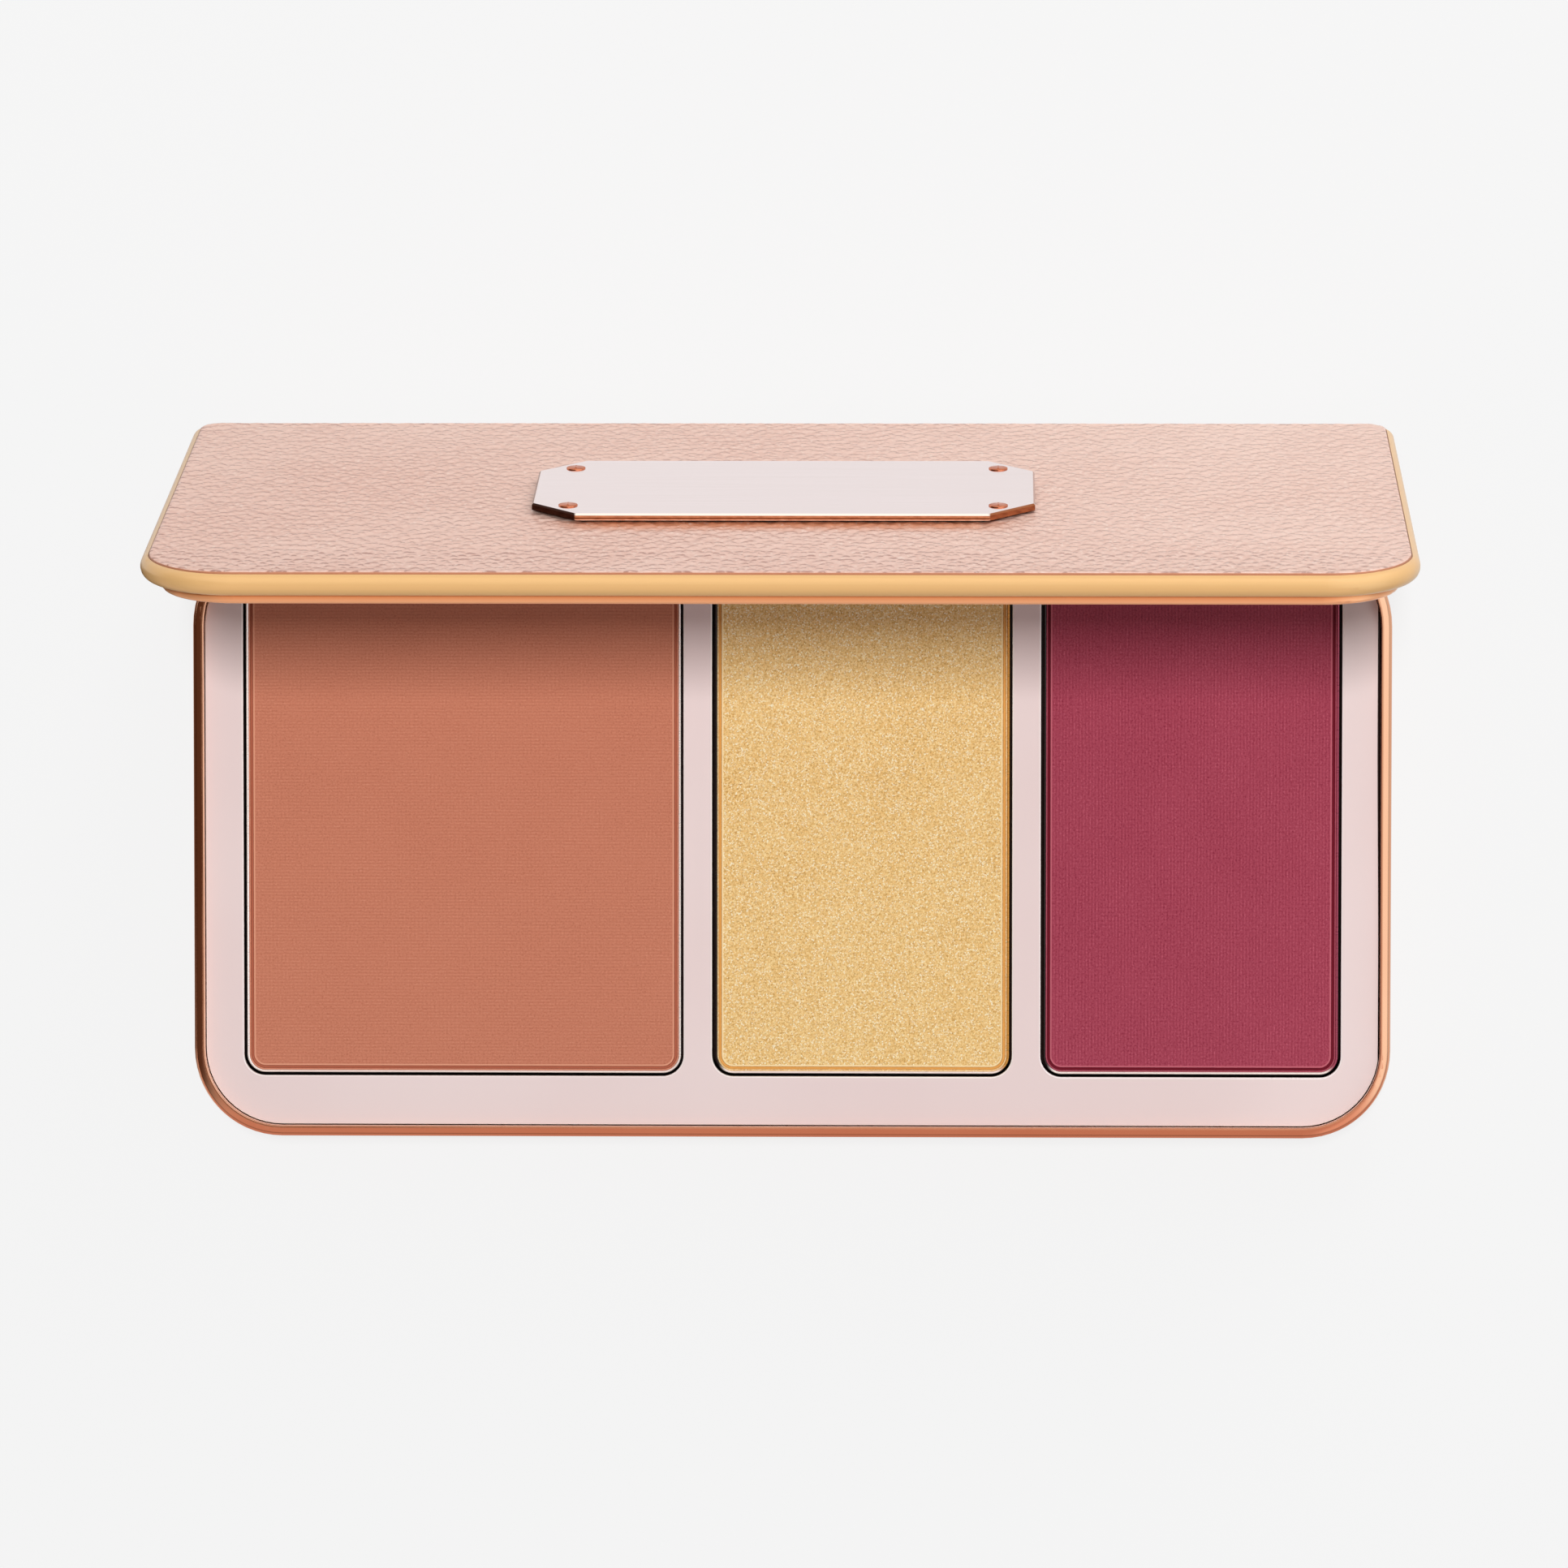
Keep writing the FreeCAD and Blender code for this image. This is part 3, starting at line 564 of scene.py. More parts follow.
@dataclass(frozen=True)
class PearlDeck(Finish):
    """Pale pearl film on the deck, with a painted highlight over its edges, painted shade in the wells and a
    painted shadow line along the right rim.
    """

    colour: Colour
    deep: Colour
    # edge is a painted highlight colour; the colour after it is painted shade for the wells and the right-rim
    # line.
    edge: Colour
    shade_colour: Colour
    top: float
    highlight_drop: float
    shade_drop: float
    shadow_line: ShadowLine
    marks: Marks
    cloud: float = 30 * MM
    sheen: float = 0.3

    def paint(self, graph: Graph, shader: bpy.types.Node) -> None:
        """Feed the finish into its shader.

        Args:
            graph: The material's graph.
            shader: The material's shader.
        """
        place = graph.place(Axes.CASE)
        tint = graph.spread(graph.noise(place, self.cloud).outputs[0], *CLOUD_SPAN)
        pearl = graph.blend(tint, self.colour, self.deep)
        axes = graph.axes(place)
        drop = graph.calc("SUBTRACT", self.top, axes["Z"])
        # Painted highlight: the rounded edges turn near white.
        highlit = graph.blend(graph.spread(drop, 0.0, self.highlight_drop), pearl, self.edge)
        # Painted shade: the well walls turn near black below the top.
        face = graph.blend(graph.spread(drop, self.shade_drop, 2 * self.shade_drop), highlit, self.shade_colour)
        # Painted shadow: a dark line along the right rim, wider at the back.
        width = graph.spread(axes["Y"], self.shadow_line.front, self.shadow_line.back, self.shadow_line.narrow, self.shadow_line.wide)
        shadow_line = graph.calc("LESS_THAN", graph.calc("SUBTRACT", self.shadow_line.end, axes["X"]), width)
        shadowed = graph.blend(shadow_line, face, self.shade_colour)
        self.fill(graph, shader, {"Base Color": shadowed, "Specular IOR Level": self.sheen})
        self.gloss(graph, shader, place, self.marks)


@dataclass(frozen=True)
class Powder(Finish):
    """Any pressed powder: its colours, and the painted shade in its groove and painted highlight on its lip
    that its tone attribute marks.
    """

    dark: Colour
    colour: Colour
    light: Colour
    # groove is painted shade and lip a painted highlight.
    groove: Colour
    lip: Colour

    def grit(self, graph: Graph, place: Socket, grain: float) -> bpy.types.bpy_prop_collection:
        """Place the powder's fine grain and give its outputs."""
        inputs = {"Vector": place, "Dark": self.dark, "Colour": self.colour, "Light": self.light,
                  "Grain": grain}
        return graph.group(powder_grit(), inputs)

    def paint_edge_shading(self, graph: Graph, colour: Socket) -> Socket:
        """Paint shade into a colour in the groove and a highlight on the lip.

        Args:
            graph: The material's graph.
            colour: The powder's own colour.

        Returns:
            The marked colour.
        """
        # Painted shade in the groove and painted highlight on the lip, set by each ring's tone.
        tone = graph.add("ShaderNodeAttribute", attribute_name="tone").outputs["Fac"]
        groove_shaded = graph.blend(graph.spread(tone, -1.0, 0.0, 1.0, 0.0), colour, self.groove)
        return graph.blend(graph.spread(tone, 0.0, 1.0), groove_shaded, self.lip)


@dataclass(frozen=True)
class PressedPowder(Powder):
    """Matte or satin powder with the lines of the pressing ribbon."""

    press: Press
    line_pitch: float
    thread_pitch: float
    roughness: float
    grain: float = 0.20 * MM
    line_shade: float = 0.5
    grit_height: float = 0.6
    depth: float = 0.03 * MM
    strength: float = 0.3
    sheen: float = 0.25

    def paint(self, graph: Graph, shader: bpy.types.Node) -> None:
        """Feed the finish into its shader.

        Args:
            graph: The material's graph.
            shader: The material's shader.
        """
        place = graph.place(Axes.CASE, self.press.value)
        grit = self.grit(graph, place, self.grain)
        lines = graph.group(pressed_lines(), {"Vector": place, "Line pitch": self.line_pitch,
                                              "Thread pitch": self.thread_pitch})
        shade = graph.calc("MULTIPLY", graph.calc("SUBTRACT", 1.0, lines["Height"]), self.line_shade)
        pressed = graph.blend(shade, grit["Colour"], self.dark)
        self.fill(graph, shader, {"Base Color": self.paint_edge_shading(graph, pressed), "Roughness": self.roughness,
                                  "Specular IOR Level": self.sheen})
        grains = graph.calc("MULTIPLY", grit["Height"], self.grit_height)
        self.relief(graph, shader, graph.calc("ADD", lines["Height"], grains), self.depth, self.strength)


@dataclass(frozen=True)
class Shimmer(Powder):
    """Pressed powder full of fine bright flakes that lie at odd angles."""

    glint: Colour
    flake: float
    grain: float = 0.26 * MM
    dark_share: float = 0.6
    light_share: float = 0.8
    glint_share: float = 0.9
    glint_span: Span = (0.86, 0.98)
    metal: float = 0.20
    dull: float = 0.55
    bright: float = 0.32
    sheen: float = 0.3
    strength: float = 0.45

    def paint(self, graph: Graph, shader: bpy.types.Node) -> None:
        """Feed the finish into its shader.

        Args:
            graph: The material's graph.
            shader: The material's shader.
        """
        place = graph.place(Axes.CASE)
        flakes = graph.cells(place, self.flake)
        chance = graph.chances(flakes)
        dark = graph.spread(chance[0], 0.0, 0.5, self.dark_share, 0.0)
        light = graph.spread(chance[1], 0.5, 1.0, 0.0, self.light_share)
        glint = graph.spread(chance[2], *self.glint_span, 0.0, self.glint_share)
        darker = graph.blend(dark, self.grit(graph, place, self.grain)["Colour"], self.dark)
        colour = graph.blend(glint, graph.blend(light, darker, self.light), self.glint)
        self.fill(graph, shader, {"Base Color": self.paint_edge_shading(graph, colour),
                                  "Metallic": graph.spread(chance[2], 0.5, 1.0, 0.0, self.metal),
                                  "Roughness": graph.spread(chance[1], 0.0, 1.0, self.dull, self.bright),
                                  "Specular IOR Level": self.sheen})
        tilt = graph.move("SUBTRACT", flakes.outputs["Color"], HALF)
        across = graph.move("SUBTRACT", place, flakes.outputs["Position"])
        facet = graph.add("ShaderNodeVectorMath", {0: tilt, 1: across}, operation="DOT_PRODUCT")
        height = graph.calc("DIVIDE", facet.outputs["Value"], self.flake)
        self.relief(graph, shader, height, self.flake / 2, self.strength)


@dataclass(frozen=True)
class RoseLeather(Finish):
    """Fine pebbled leather with a rose metal sheen, painted light and shade on its pebbles, small painted
    glints, painted shade on its turned edge and a painted copper reflection beside the plate.
    """

    # Of these colours, the first is painted shade on the pebbles' hinge-facing slopes, light is both random
    # wear and a painted highlight, spark is a painted glint, edge is painted shade on the turned edge and
    # glow is a painted reflection of the plate.
    slope_shade: Colour
    colour: Colour
    light: Colour
    spark: Colour
    edge: Colour
    glow: Colour
    pebble: float
    reach: float
    spark_reach: float
    hinge_light_reach: float
    plate_edge: float
    plate_side: float
    reflection_reach: float
    reflection_share: float = 0.8
    fine: float = 0.35 * MM
    cloud: float = 16 * MM
    flake: float = 0.26 * MM
    wear: float = 0.5
    wear_span: Span = (0.4, 0.75)
    slope_highlight: float = 0.7
    slope_highlight_span: Span = (-0.6, -0.1)
    slope_shade_span: Span = (0.0, 0.5)
    spark_gain: float = 0.06
    spark_span: Span = (0.96, 1.0)
    spark_share: float = 0.3
    right_light: float = 0.10
    hinge_light: float = 0.06
    edge_shade_span: Span = (0.0, 0.3)
    metal_span: Span = (0.2, 1.0)
    metal: Span = (0.10, 0.30)
    rough: Span = (0.50, 0.36)
    sheen: float = 0.35
    depth: float = 0.03 * MM
    strength: float = 0.5

    def shade_pebbles(self, graph: Graph, place: Socket, fine: Socket) -> Socket:
        """Paint light and shade on the pebbles: a painted highlight on slopes that face the lid's free edge,
        and painted shade on slopes that face the hinge.

        Args:
            graph: The material's graph.
            place: Coordinates along the shut lid.
            fine: The leather's fine grain.

        Returns:
            The colour with its painted light and shade.
        """
        ahead = hide_pattern(graph, graph.move("ADD", place, (0.0, -self.reach, 0.0)), self.pebble)
        behind = hide_pattern(graph, graph.move("ADD", place, (0.0, self.reach, 0.0)), self.pebble)
        # Painted light and shade: slopes are coloured by how the height changes along the lid.
        shade = graph.calc("SUBTRACT", ahead, behind)
        cloud = graph.noise(place, self.cloud, detail=3.0).outputs[0]
        face = graph.blend(graph.spread(cloud, *NOISE_SPAN, 0.0, self.wear), self.colour, self.light)
        worn = graph.blend(graph.spread(fine, *self.wear_span, 0.0, self.wear), face, self.light)
        highlit_slopes = graph.blend(graph.spread(shade, *self.slope_highlight_span, self.slope_highlight, 0.0), worn, self.light)
        return graph.blend(graph.spread(shade, *self.slope_shade_span), highlit_slopes, self.slope_shade)

    def sparkle(self, graph: Graph, axes: bpy.types.bpy_prop_collection, chance: Socket) -> Socket:
        """Give the share of painted glints, which grow towards the right, and of painted light towards the
        right and the hinge.

        Args:
            graph: The material's graph.
            axes: The coordinates along the shut lid.
            chance: A random share for each flake.

        Returns:
            The share.
        """
        # Painted glints, more of them towards the right.
        gain = graph.spread(axes["X"], -self.spark_reach, self.spark_reach, 0.0, self.spark_gain)
        spark = graph.spread(graph.calc("ADD", chance, gain), *self.spark_span, 0.0, self.spark_share)
        # Painted light: paler towards the right and towards the hinge.
        painted_light = graph.calc("ADD", graph.spread(axes["X"], 0.0, self.spark_reach, 0.0, self.right_light),
                          graph.spread(axes["Y"], -self.hinge_light_reach, 0.0, 0.0, self.hinge_light))
        return graph.calc("MAXIMUM", spark, painted_light)

    def plate_reflection(self, graph: Graph, axes: bpy.types.bpy_prop_collection) -> Socket:
        """Give the share of the painted copper reflection in front of the plate's edge.

        Args:
            graph: The material's graph.
            axes: The coordinates along the shut lid.

        Returns:
            The share, which fades away from the edge and towards its two ends.
        """
        near = graph.spread(axes["Y"], self.plate_edge - self.reflection_reach, self.plate_edge, 0.0,
                            self.reflection_share)
        ahead = graph.calc("LESS_THAN", axes["Y"], self.plate_edge + self.reflection_reach / 4)
        middle = graph.spread(graph.calc("ABSOLUTE", axes["X"]), self.plate_side - 2 * self.reflection_reach,
                              self.plate_side, 1.0, 0.0)
        return graph.calc("MULTIPLY", graph.calc("MULTIPLY", near, ahead), middle)

    def paint(self, graph: Graph, shader: bpy.types.Node) -> None:
        """Feed the finish into its shader.

        Args:
            graph: The material's graph.
            shader: The material's shader.
        """
        place = graph.place(Axes.LID)
        axes = graph.axes(place)
        fine = graph.noise(place, self.fine, detail=3.0).outputs[0]
        chance = graph.chances(graph.cells(place, self.flake))[0]
        # Painted reflection of the plate's copper side on the leather.
        reflected = graph.blend(self.plate_reflection(graph, axes), self.shade_pebbles(graph, place, fine), self.glow)
        sparkling = graph.blend(self.sparkle(graph, axes, chance), reflected, self.spark)
        # Painted shade: the turned edge by the rim is coloured darker.
        fade = graph.add("ShaderNodeAttribute", attribute_name="fade").outputs["Fac"]
        whole = graph.blend(graph.spread(fade, *self.edge_shade_span), self.edge, sparkling)
        self.fill(graph, shader, {"Base Color": whole,
                                  "Metallic": graph.spread(chance, *self.metal_span, *self.metal),
                                  "Roughness": graph.spread(fine, *NOISE_SPAN, *self.rough),
                                  "Specular IOR Level": self.sheen})
        self.relief(graph, shader, fine, self.depth, self.strength)


@dataclass(frozen=True)
class DrawnMetal(Finish):
    """Bare or plated metal with fine straight lines."""

    colour: Colour
    deep: Colour
    axes: Axes
    length: float
    width: float
    low: float
    high: float
    metallic: float

    def tint(self, graph: Graph, place: Socket, shade: Socket) -> Socket:
        """Give the metal's colour from its place and from the shade of its lines."""
        return graph.blend(shade, self.colour, self.deep)

    def paint(self, graph: Graph, shader: bpy.types.Node) -> None:
        """Feed the finish into its shader.

        Args:
            graph: The material's graph.
            shader: The material's shader.
        """
        place = graph.place(self.axes)
        lines = graph.group(drawn_lines(), {"Vector": place, "Length": self.length, "Width": self.width,
                                            "Low": self.low, "High": self.high})
        self.fill(graph, shader, {"Base Color": self.tint(graph, place, lines["Shade"]),
                                  "Roughness": lines["Roughness"], "Metallic": self.metallic})
        self.relief(graph, shader, lines["Height"], DRAWN_DEPTH, DRAWN_STRENGTH)


@dataclass(frozen=True)
class PanSheet(DrawnMetal):
    """Rolled sheet of a pan, whose two side edges can take painted colours: painted shade from the gap, or a
    painted reflection of the powder beside them.
    """

    left: Colour
    right: Colour
    left_end: float
    right_end: float
    edge_width: float
    edge_fade: float

    def tint(self, graph: Graph, place: Socket, shade: Socket) -> Socket:
        """Give the sheet's colour, with its two side edges in their own painted colours.

        Args:
            graph: The material's graph.
            place: Coordinates along the case.
            shade: The shade of the sheet's lines.

        Returns:
            The colour.
        """
        across = graph.axes(place)["X"]
        inner_left = self.left_end + self.edge_width
        inner_right = self.right_end - self.edge_width
        # Painted colours on the two side edges.
        on_left = graph.spread(across, inner_left, inner_left + self.edge_fade, 1.0, 0.0)
        on_right = graph.spread(across, inner_right - self.edge_fade, inner_right)
        sheet = graph.blend(on_left, super().tint(graph, place, shade), self.left)
        return graph.blend(on_right, sheet, self.right)


@dataclass(frozen=True)
class PlatedMetal(Finish):
    """Copper plate with a pale polished face, painted highlights on its edges, a painted dark reflection band
    along its side and painted shade on its cut corners.
    """

    face: Colour
    face_deep: Colour
    # bevel is a painted highlight, the colour after side a painted dark reflection band, and the corner
    # colours painted shade.
    bevel_highlight: Colour
    side: Colour
    dark_reflection: Colour
    left_corner_shade: Colour
    right_corner_shade: Colour
    top: float
    bevel_drop: float
    dark_reflection_drop: float
    foot_drop: float
    cut: float
    low: float
    high: float
    line_length: float = 20 * MM
    line_width: float = 0.15 * MM
    line_depth: float = 0.003 * MM
    line_strength: float = 0.05
    dark_reflection_span: Span = (0.03 * MM, 0.08 * MM)
    bevel_fade: float = 0.03 * MM
    foot_span: Span = (0.12 * MM, 0.08 * MM)
    cut_fade: float = 0.2 * MM
    middle: float = 1 * MM
    face_drop: float = 0.04 * MM

    def side_colour(self, graph: Graph, axes: bpy.types.bpy_prop_collection, drop: Socket) -> Socket:
        """Colour the plate's side: painted highlights along its two edges, a painted dark reflection band
        between them, and painted shade at the cut corners.

        Args:
            graph: The material's graph.
            axes: The coordinates along the shut lid.
            drop: How far a point lies below the plate's face.

        Returns:
            The side's colour.
        """
        # Painted dark reflection band across the middle of the side.
        off_reflection = graph.calc("ABSOLUTE", graph.calc("SUBTRACT", drop, self.dark_reflection_drop))
        with_reflection = graph.blend(graph.spread(off_reflection, *self.dark_reflection_span, 1.0, 0.0), self.side, self.dark_reflection)
        # Painted highlights along the upper and lower edges.
        upper = graph.spread(drop, self.bevel_drop, self.bevel_drop + self.bevel_fade, 1.0, 0.0)
        lower = graph.spread(drop, *(self.foot_drop - height for height in self.foot_span))
        edged = graph.blend(graph.calc("ADD", upper, lower), with_reflection, self.bevel_highlight)
        # Painted shade on the cut corners, darker on the left.
        cut = graph.spread(graph.calc("ABSOLUTE", axes["X"]), self.cut, self.cut + self.cut_fade)
        to_right = graph.spread(axes["X"], -self.middle, self.middle)
        return graph.blend(cut, edged, graph.blend(to_right, self.left_corner_shade, self.right_corner_shade))

    def paint(self, graph: Graph, shader: bpy.types.Node) -> None:
        """Feed the finish into its shader.

        Args:
            graph: The material's graph.
            shader: The material's shader.
        """
        place = graph.place(Axes.LID)
        lines = graph.group(drawn_lines(), {"Vector": place, "Length": self.line_length,
                                            "Width": self.line_width, "Low": self.low, "High": self.high})
        polished = graph.blend(lines["Shade"], self.face, self.face_deep)
        axes = graph.axes(place)
        drop = graph.calc("SUBTRACT", self.top, axes["Z"])
        below = graph.spread(drop, 0.0, self.face_drop)
        colour = graph.blend(below, polished, self.side_colour(graph, axes, drop))
        self.fill(graph, shader, {"Base Color": colour, "Roughness": lines["Roughness"],
                                  "Metallic": WHOLE_METAL})
        self.relief(graph, shader, lines["Height"], self.line_depth, self.line_strength)


@dataclass(frozen=True)
class MirrorGlass(Finish):
    """Silvered glass with a few faint smears."""

    colour: Colour
    deep: Colour
    marks: Marks
    cloud: float = 20 * MM
    cloud_span: Span = (0.35, 0.7)

    def paint(self, graph: Graph, shader: bpy.types.Node) -> None:
        """Feed the finish into its shader.

        Args:
            graph: The material's graph.
            shader: The material's shader.
        """
        place = graph.place(Axes.LID)
        cloud = graph.spread(graph.noise(place, self.cloud).outputs[0], *self.cloud_span)
        face = graph.blend(cloud, self.colour, self.deep)
        self.fill(graph, shader, {"Base Color": face, "Metallic": WHOLE_METAL})
        self.gloss(graph, shader, place, self.marks)


@dataclass(frozen=True)
class AdhesiveFilm(Finish):
    """Cloudy film of glue or tape."""

    colour: Colour
    deep: Colour
    grain: float = 1.2 * MM
    roughness: float = 0.45
    depth: float = 0.03 * MM
    strength: float = 0.4

    def paint(self, graph: Graph, shader: bpy.types.Node) -> None:
        """Feed the finish into its shader.

        Args:
            graph: The material's graph.
            shader: The material's shader.
        """
        place = graph.place(Axes.CASE)
        grit = graph.group(powder_grit(), {"Vector": place, "Dark": self.deep, "Colour": self.colour,
                                           "Light": self.colour, "Grain": self.grain})
        self.fill(graph, shader, {"Base Color": grit["Colour"], "Roughness": self.roughness})
        self.relief(graph, shader, grit["Height"], self.depth, self.strength)


def dress(finish: Finish, *nodes: str) -> None:
    """Give frame nodes a finish in place of their plain one.

    Args:
        finish: The finish.
        nodes: The nodes' names.
    """
    material = finish.material()
    for node in nodes:
        frame["nodes"][node].material_slots[0].material = material
        LOG.info("dressed %s in %s", node, finish.name)


def add_piece(name: str, mesh: bpy.types.Mesh, body: Body, slot: str, *stands_for: str) -> None:
    """Add a finished piece that rides on a body and stands for frame nodes.

    Args:
        name: The piece's name.
        mesh: Its mesh, in its place.
        body: The body that it rides on.
        slot: The name of the record's material slot for the piece; not used.
        stands_for: The frame nodes that it replaces.
    """
    piece = bpy.data.objects.new(name, mesh)
    bpy.context.scene.collection.objects.link(piece)
    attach(piece, body.value)
    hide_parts(*stands_for)
    LOG.info("built %s with %d faces", name, len(mesh.polygons))


@dataclass(frozen=True)
class Outline:
    """A rectangle with rounded corners."""

    low: Vector
    high: Vector
    front_corner: float
    back_corner: float

    def corners(self) -> list[tuple[Vector, float]]:
        """List each corner's centre and radius, counter-clockwise from the front right."""
        front, back = self.front_corner, self.back_corner
        return [
            (Vector((self.high.x - front, self.low.y + front)), front),
            (Vector((self.high.x - back, self.high.y - back)), back),
            (Vector((self.low.x + back, self.high.y - back)), back),
            (Vector((self.low.x + front, self.low.y + front)), front),
        ]

    def loop(self, inset: float, steps: int) -> list[Vector]:
        """Walk the outline counter-clockwise, drawn in all round.

        Args:
            inset: How far it is drawn in.
            steps: How many stretches each corner is cut into.

        Returns:
            The outline's points.
        """
        points = []
        for number, (centre, radius) in enumerate(self.corners(), start=-1):
            for step in range(steps + 1):
                angle = (number + step / steps) * math.pi / 2
                points.append(centre + (radius - inset) * Vector((math.cos(angle), math.sin(angle))))
        return points


class Ring(NamedTuple):
    """One copy of an outline: how far it is drawn in, how high it lies and its powder's painted tone, below
    zero for painted shade and above zero for painted highlight.
    """

    inset: float
    height: float
    tone: float = 0.0


def stack_rings(outline: Outline, profile: list[Ring], steps: int) -> bmesh.types.BMesh:
    """Build a closed solid from copies of an outline, one above the other.

    Args:
        outline: The outline.
        profile: The copies, from the bottom up.
        steps: How many stretches each corner is cut into.

    Returns:
        The solid, with each copy's painted light-and-shade tone as an attribute.
    """
    solid = bmesh.new()
    tone = solid.verts.layers.float.new("tone")
    rings = []
    for ring in profile:
        rings.append([solid.verts.new((*point, ring.height)) for point in outline.loop(ring.inset, steps)])
        for vertex in rings[-1]:
            vertex[tone] = ring.tone
    count = len(rings[0])
    for lower, upper in zip(rings, rings[1:]):
        for index in range(count):
            after = (index + 1) % count
            solid.faces.new((lower[index], lower[after], upper[after], upper[index]))
    solid.faces.new(reversed(rings[0]))
    solid.faces.new(rings[-1])
    return solid


def to_mesh(name: str, shape: bmesh.types.BMesh, material: bpy.types.Material,
            sharp: float) -> bpy.types.Mesh:
    """Turn a built shape into a smooth mesh with one material.

    Args:
        name: The mesh's name.
        shape: The built shape, which is freed.
        material: The material.
        sharp: The angle in degrees from which an edge stays sharp.

    Returns:
        The mesh.
    """
    mesh = bpy.data.meshes.new(name)
    shape.to_mesh(mesh)
    shape.free()
    mesh.materials.append(material)
    mesh.shade_smooth()
    mesh.set_sharp_from_angle(angle=math.radians(sharp))
    return mesh


class Recipe:
    """A geometry tree with named inputs, which runs once on a piece and leaves a plain mesh."""

    def __init__(self, name: str, inputs: dict[str, str]) -> None:
        """Start the tree.

        Args:
            name: The tree's name.
            inputs: Each input's name and socket type, without its common start.
        """
        sockets = {"Geometry": "Geometry", **inputs}
        self.graph, self.given, self.result = new_group("GeometryNodeTree", name, sockets,
                                                        {"Geometry": "Geometry"})

    def close(self, geometry: Socket, material: bpy.types.Material) -> None:
        """End the tree: real geometry, smooth and in one material.

        Args:
            geometry: What the tree has built.
            material: The material.
        """
        real = self.graph.add("GeometryNodeRealizeInstances", {0: geometry})
        smooth = self.graph.add("GeometryNodeSetShadeSmooth", {0: real.outputs[0]})
        dressed = self.graph.add("GeometryNodeSetMaterial", {0: smooth.outputs[0], "Material": material})
        self.graph.feed(self.result["Geometry"], dressed.outputs[0])

    def run(self, name: str, source: bpy.types.Mesh, values: dict[str, object]) -> bpy.types.Mesh:
        """Run the tree on a mesh.

        Args:
            name: The new mesh's name.
            source: The mesh that the tree starts from.
            values: Each input's value, by its name.

        Returns:
            The plain mesh.
        """
        carrier = bpy.data.objects.new(name, source)
        bpy.context.scene.collection.objects.link(carrier)
        modifier = carrier.modifiers.new(name, "NODES")
        modifier.node_group = self.graph.tree
        for item in self.graph.tree.interface.items_tree:
            if item.in_out == "INPUT" and item.name in values:
                modifier[item.identifier] = values[item.name]
        depsgraph = bpy.context.evaluated_depsgraph_get()
        mesh = bpy.data.meshes.new_from_object(carrier.evaluated_get(depsgraph), depsgraph=depsgraph)
        mesh.name = name
        bpy.data.objects.remove(carrier)
        return mesh


ROSE_COPPER = Metallised("rose copper film", colour=srgb(227, 168, 132), deep=srgb(223, 161, 125),
                         marks=Marks(14 * MM, low=0.10, high=0.16, skin=0.25))
STEEL = DrawnMetal("drawn steel", colour=srgb(200, 200, 203), deep=srgb(172, 172, 176), axes=Axes.CASE,
                   length=3 * MM, width=0.10 * MM, low=0.25, high=0.40, metallic=WHOLE_METAL)
FILM = AdhesiveFilm("adhesive film", colour=srgb(222, 217, 205), deep=srgb(200, 193, 178))
PALE_SHEET = srgb(255, 244, 236)
DEEP_SHEET = srgb(252, 240, 232)
# Painted shade of the gap beside a pan's edge.
GAP_SHADE = srgb(34, 20, 16)


@dataclass
class LowerCase:
    """The lower case with its deck, its magnets and its hinge pins."""

    highlight_drop: float = 0.03 * MM
    shade_drop: float = 0.32 * MM
    shadow_front: float = -15 * MM
    shadow_back: float = 12 * MM
    shadow_narrow: float = 0.10 * MM
    shadow_wide: float = 0.28 * MM

    def dress(self) -> None:
        """Finish the nodes of the lower case."""
        dress(ROSE_COPPER, "base_shell")
        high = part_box("pan_tray")[1]
        shadow_line = ShadowLine(high.x, self.shadow_front, self.shadow_back, self.shadow_narrow, self.shadow_wide)
        # The deck's edge colour is a painted highlight; its near-black colour is painted shade.
        deck = PearlDeck("pearl deck", colour=srgb(233, 215, 213), deep=srgb(230, 210, 208),
                         edge=srgb(255, 250, 247), shade_colour=srgb(30, 18, 15), top=high.z,
                         highlight_drop=self.highlight_drop, shade_drop=self.shade_drop, shadow_line=shadow_line,
                         marks=Marks(18 * MM, low=0.28, high=0.40, skin=0.10))
        dress(deck, "pan_tray")
        dress(STEEL, "base_magnets", "hinge_pins")


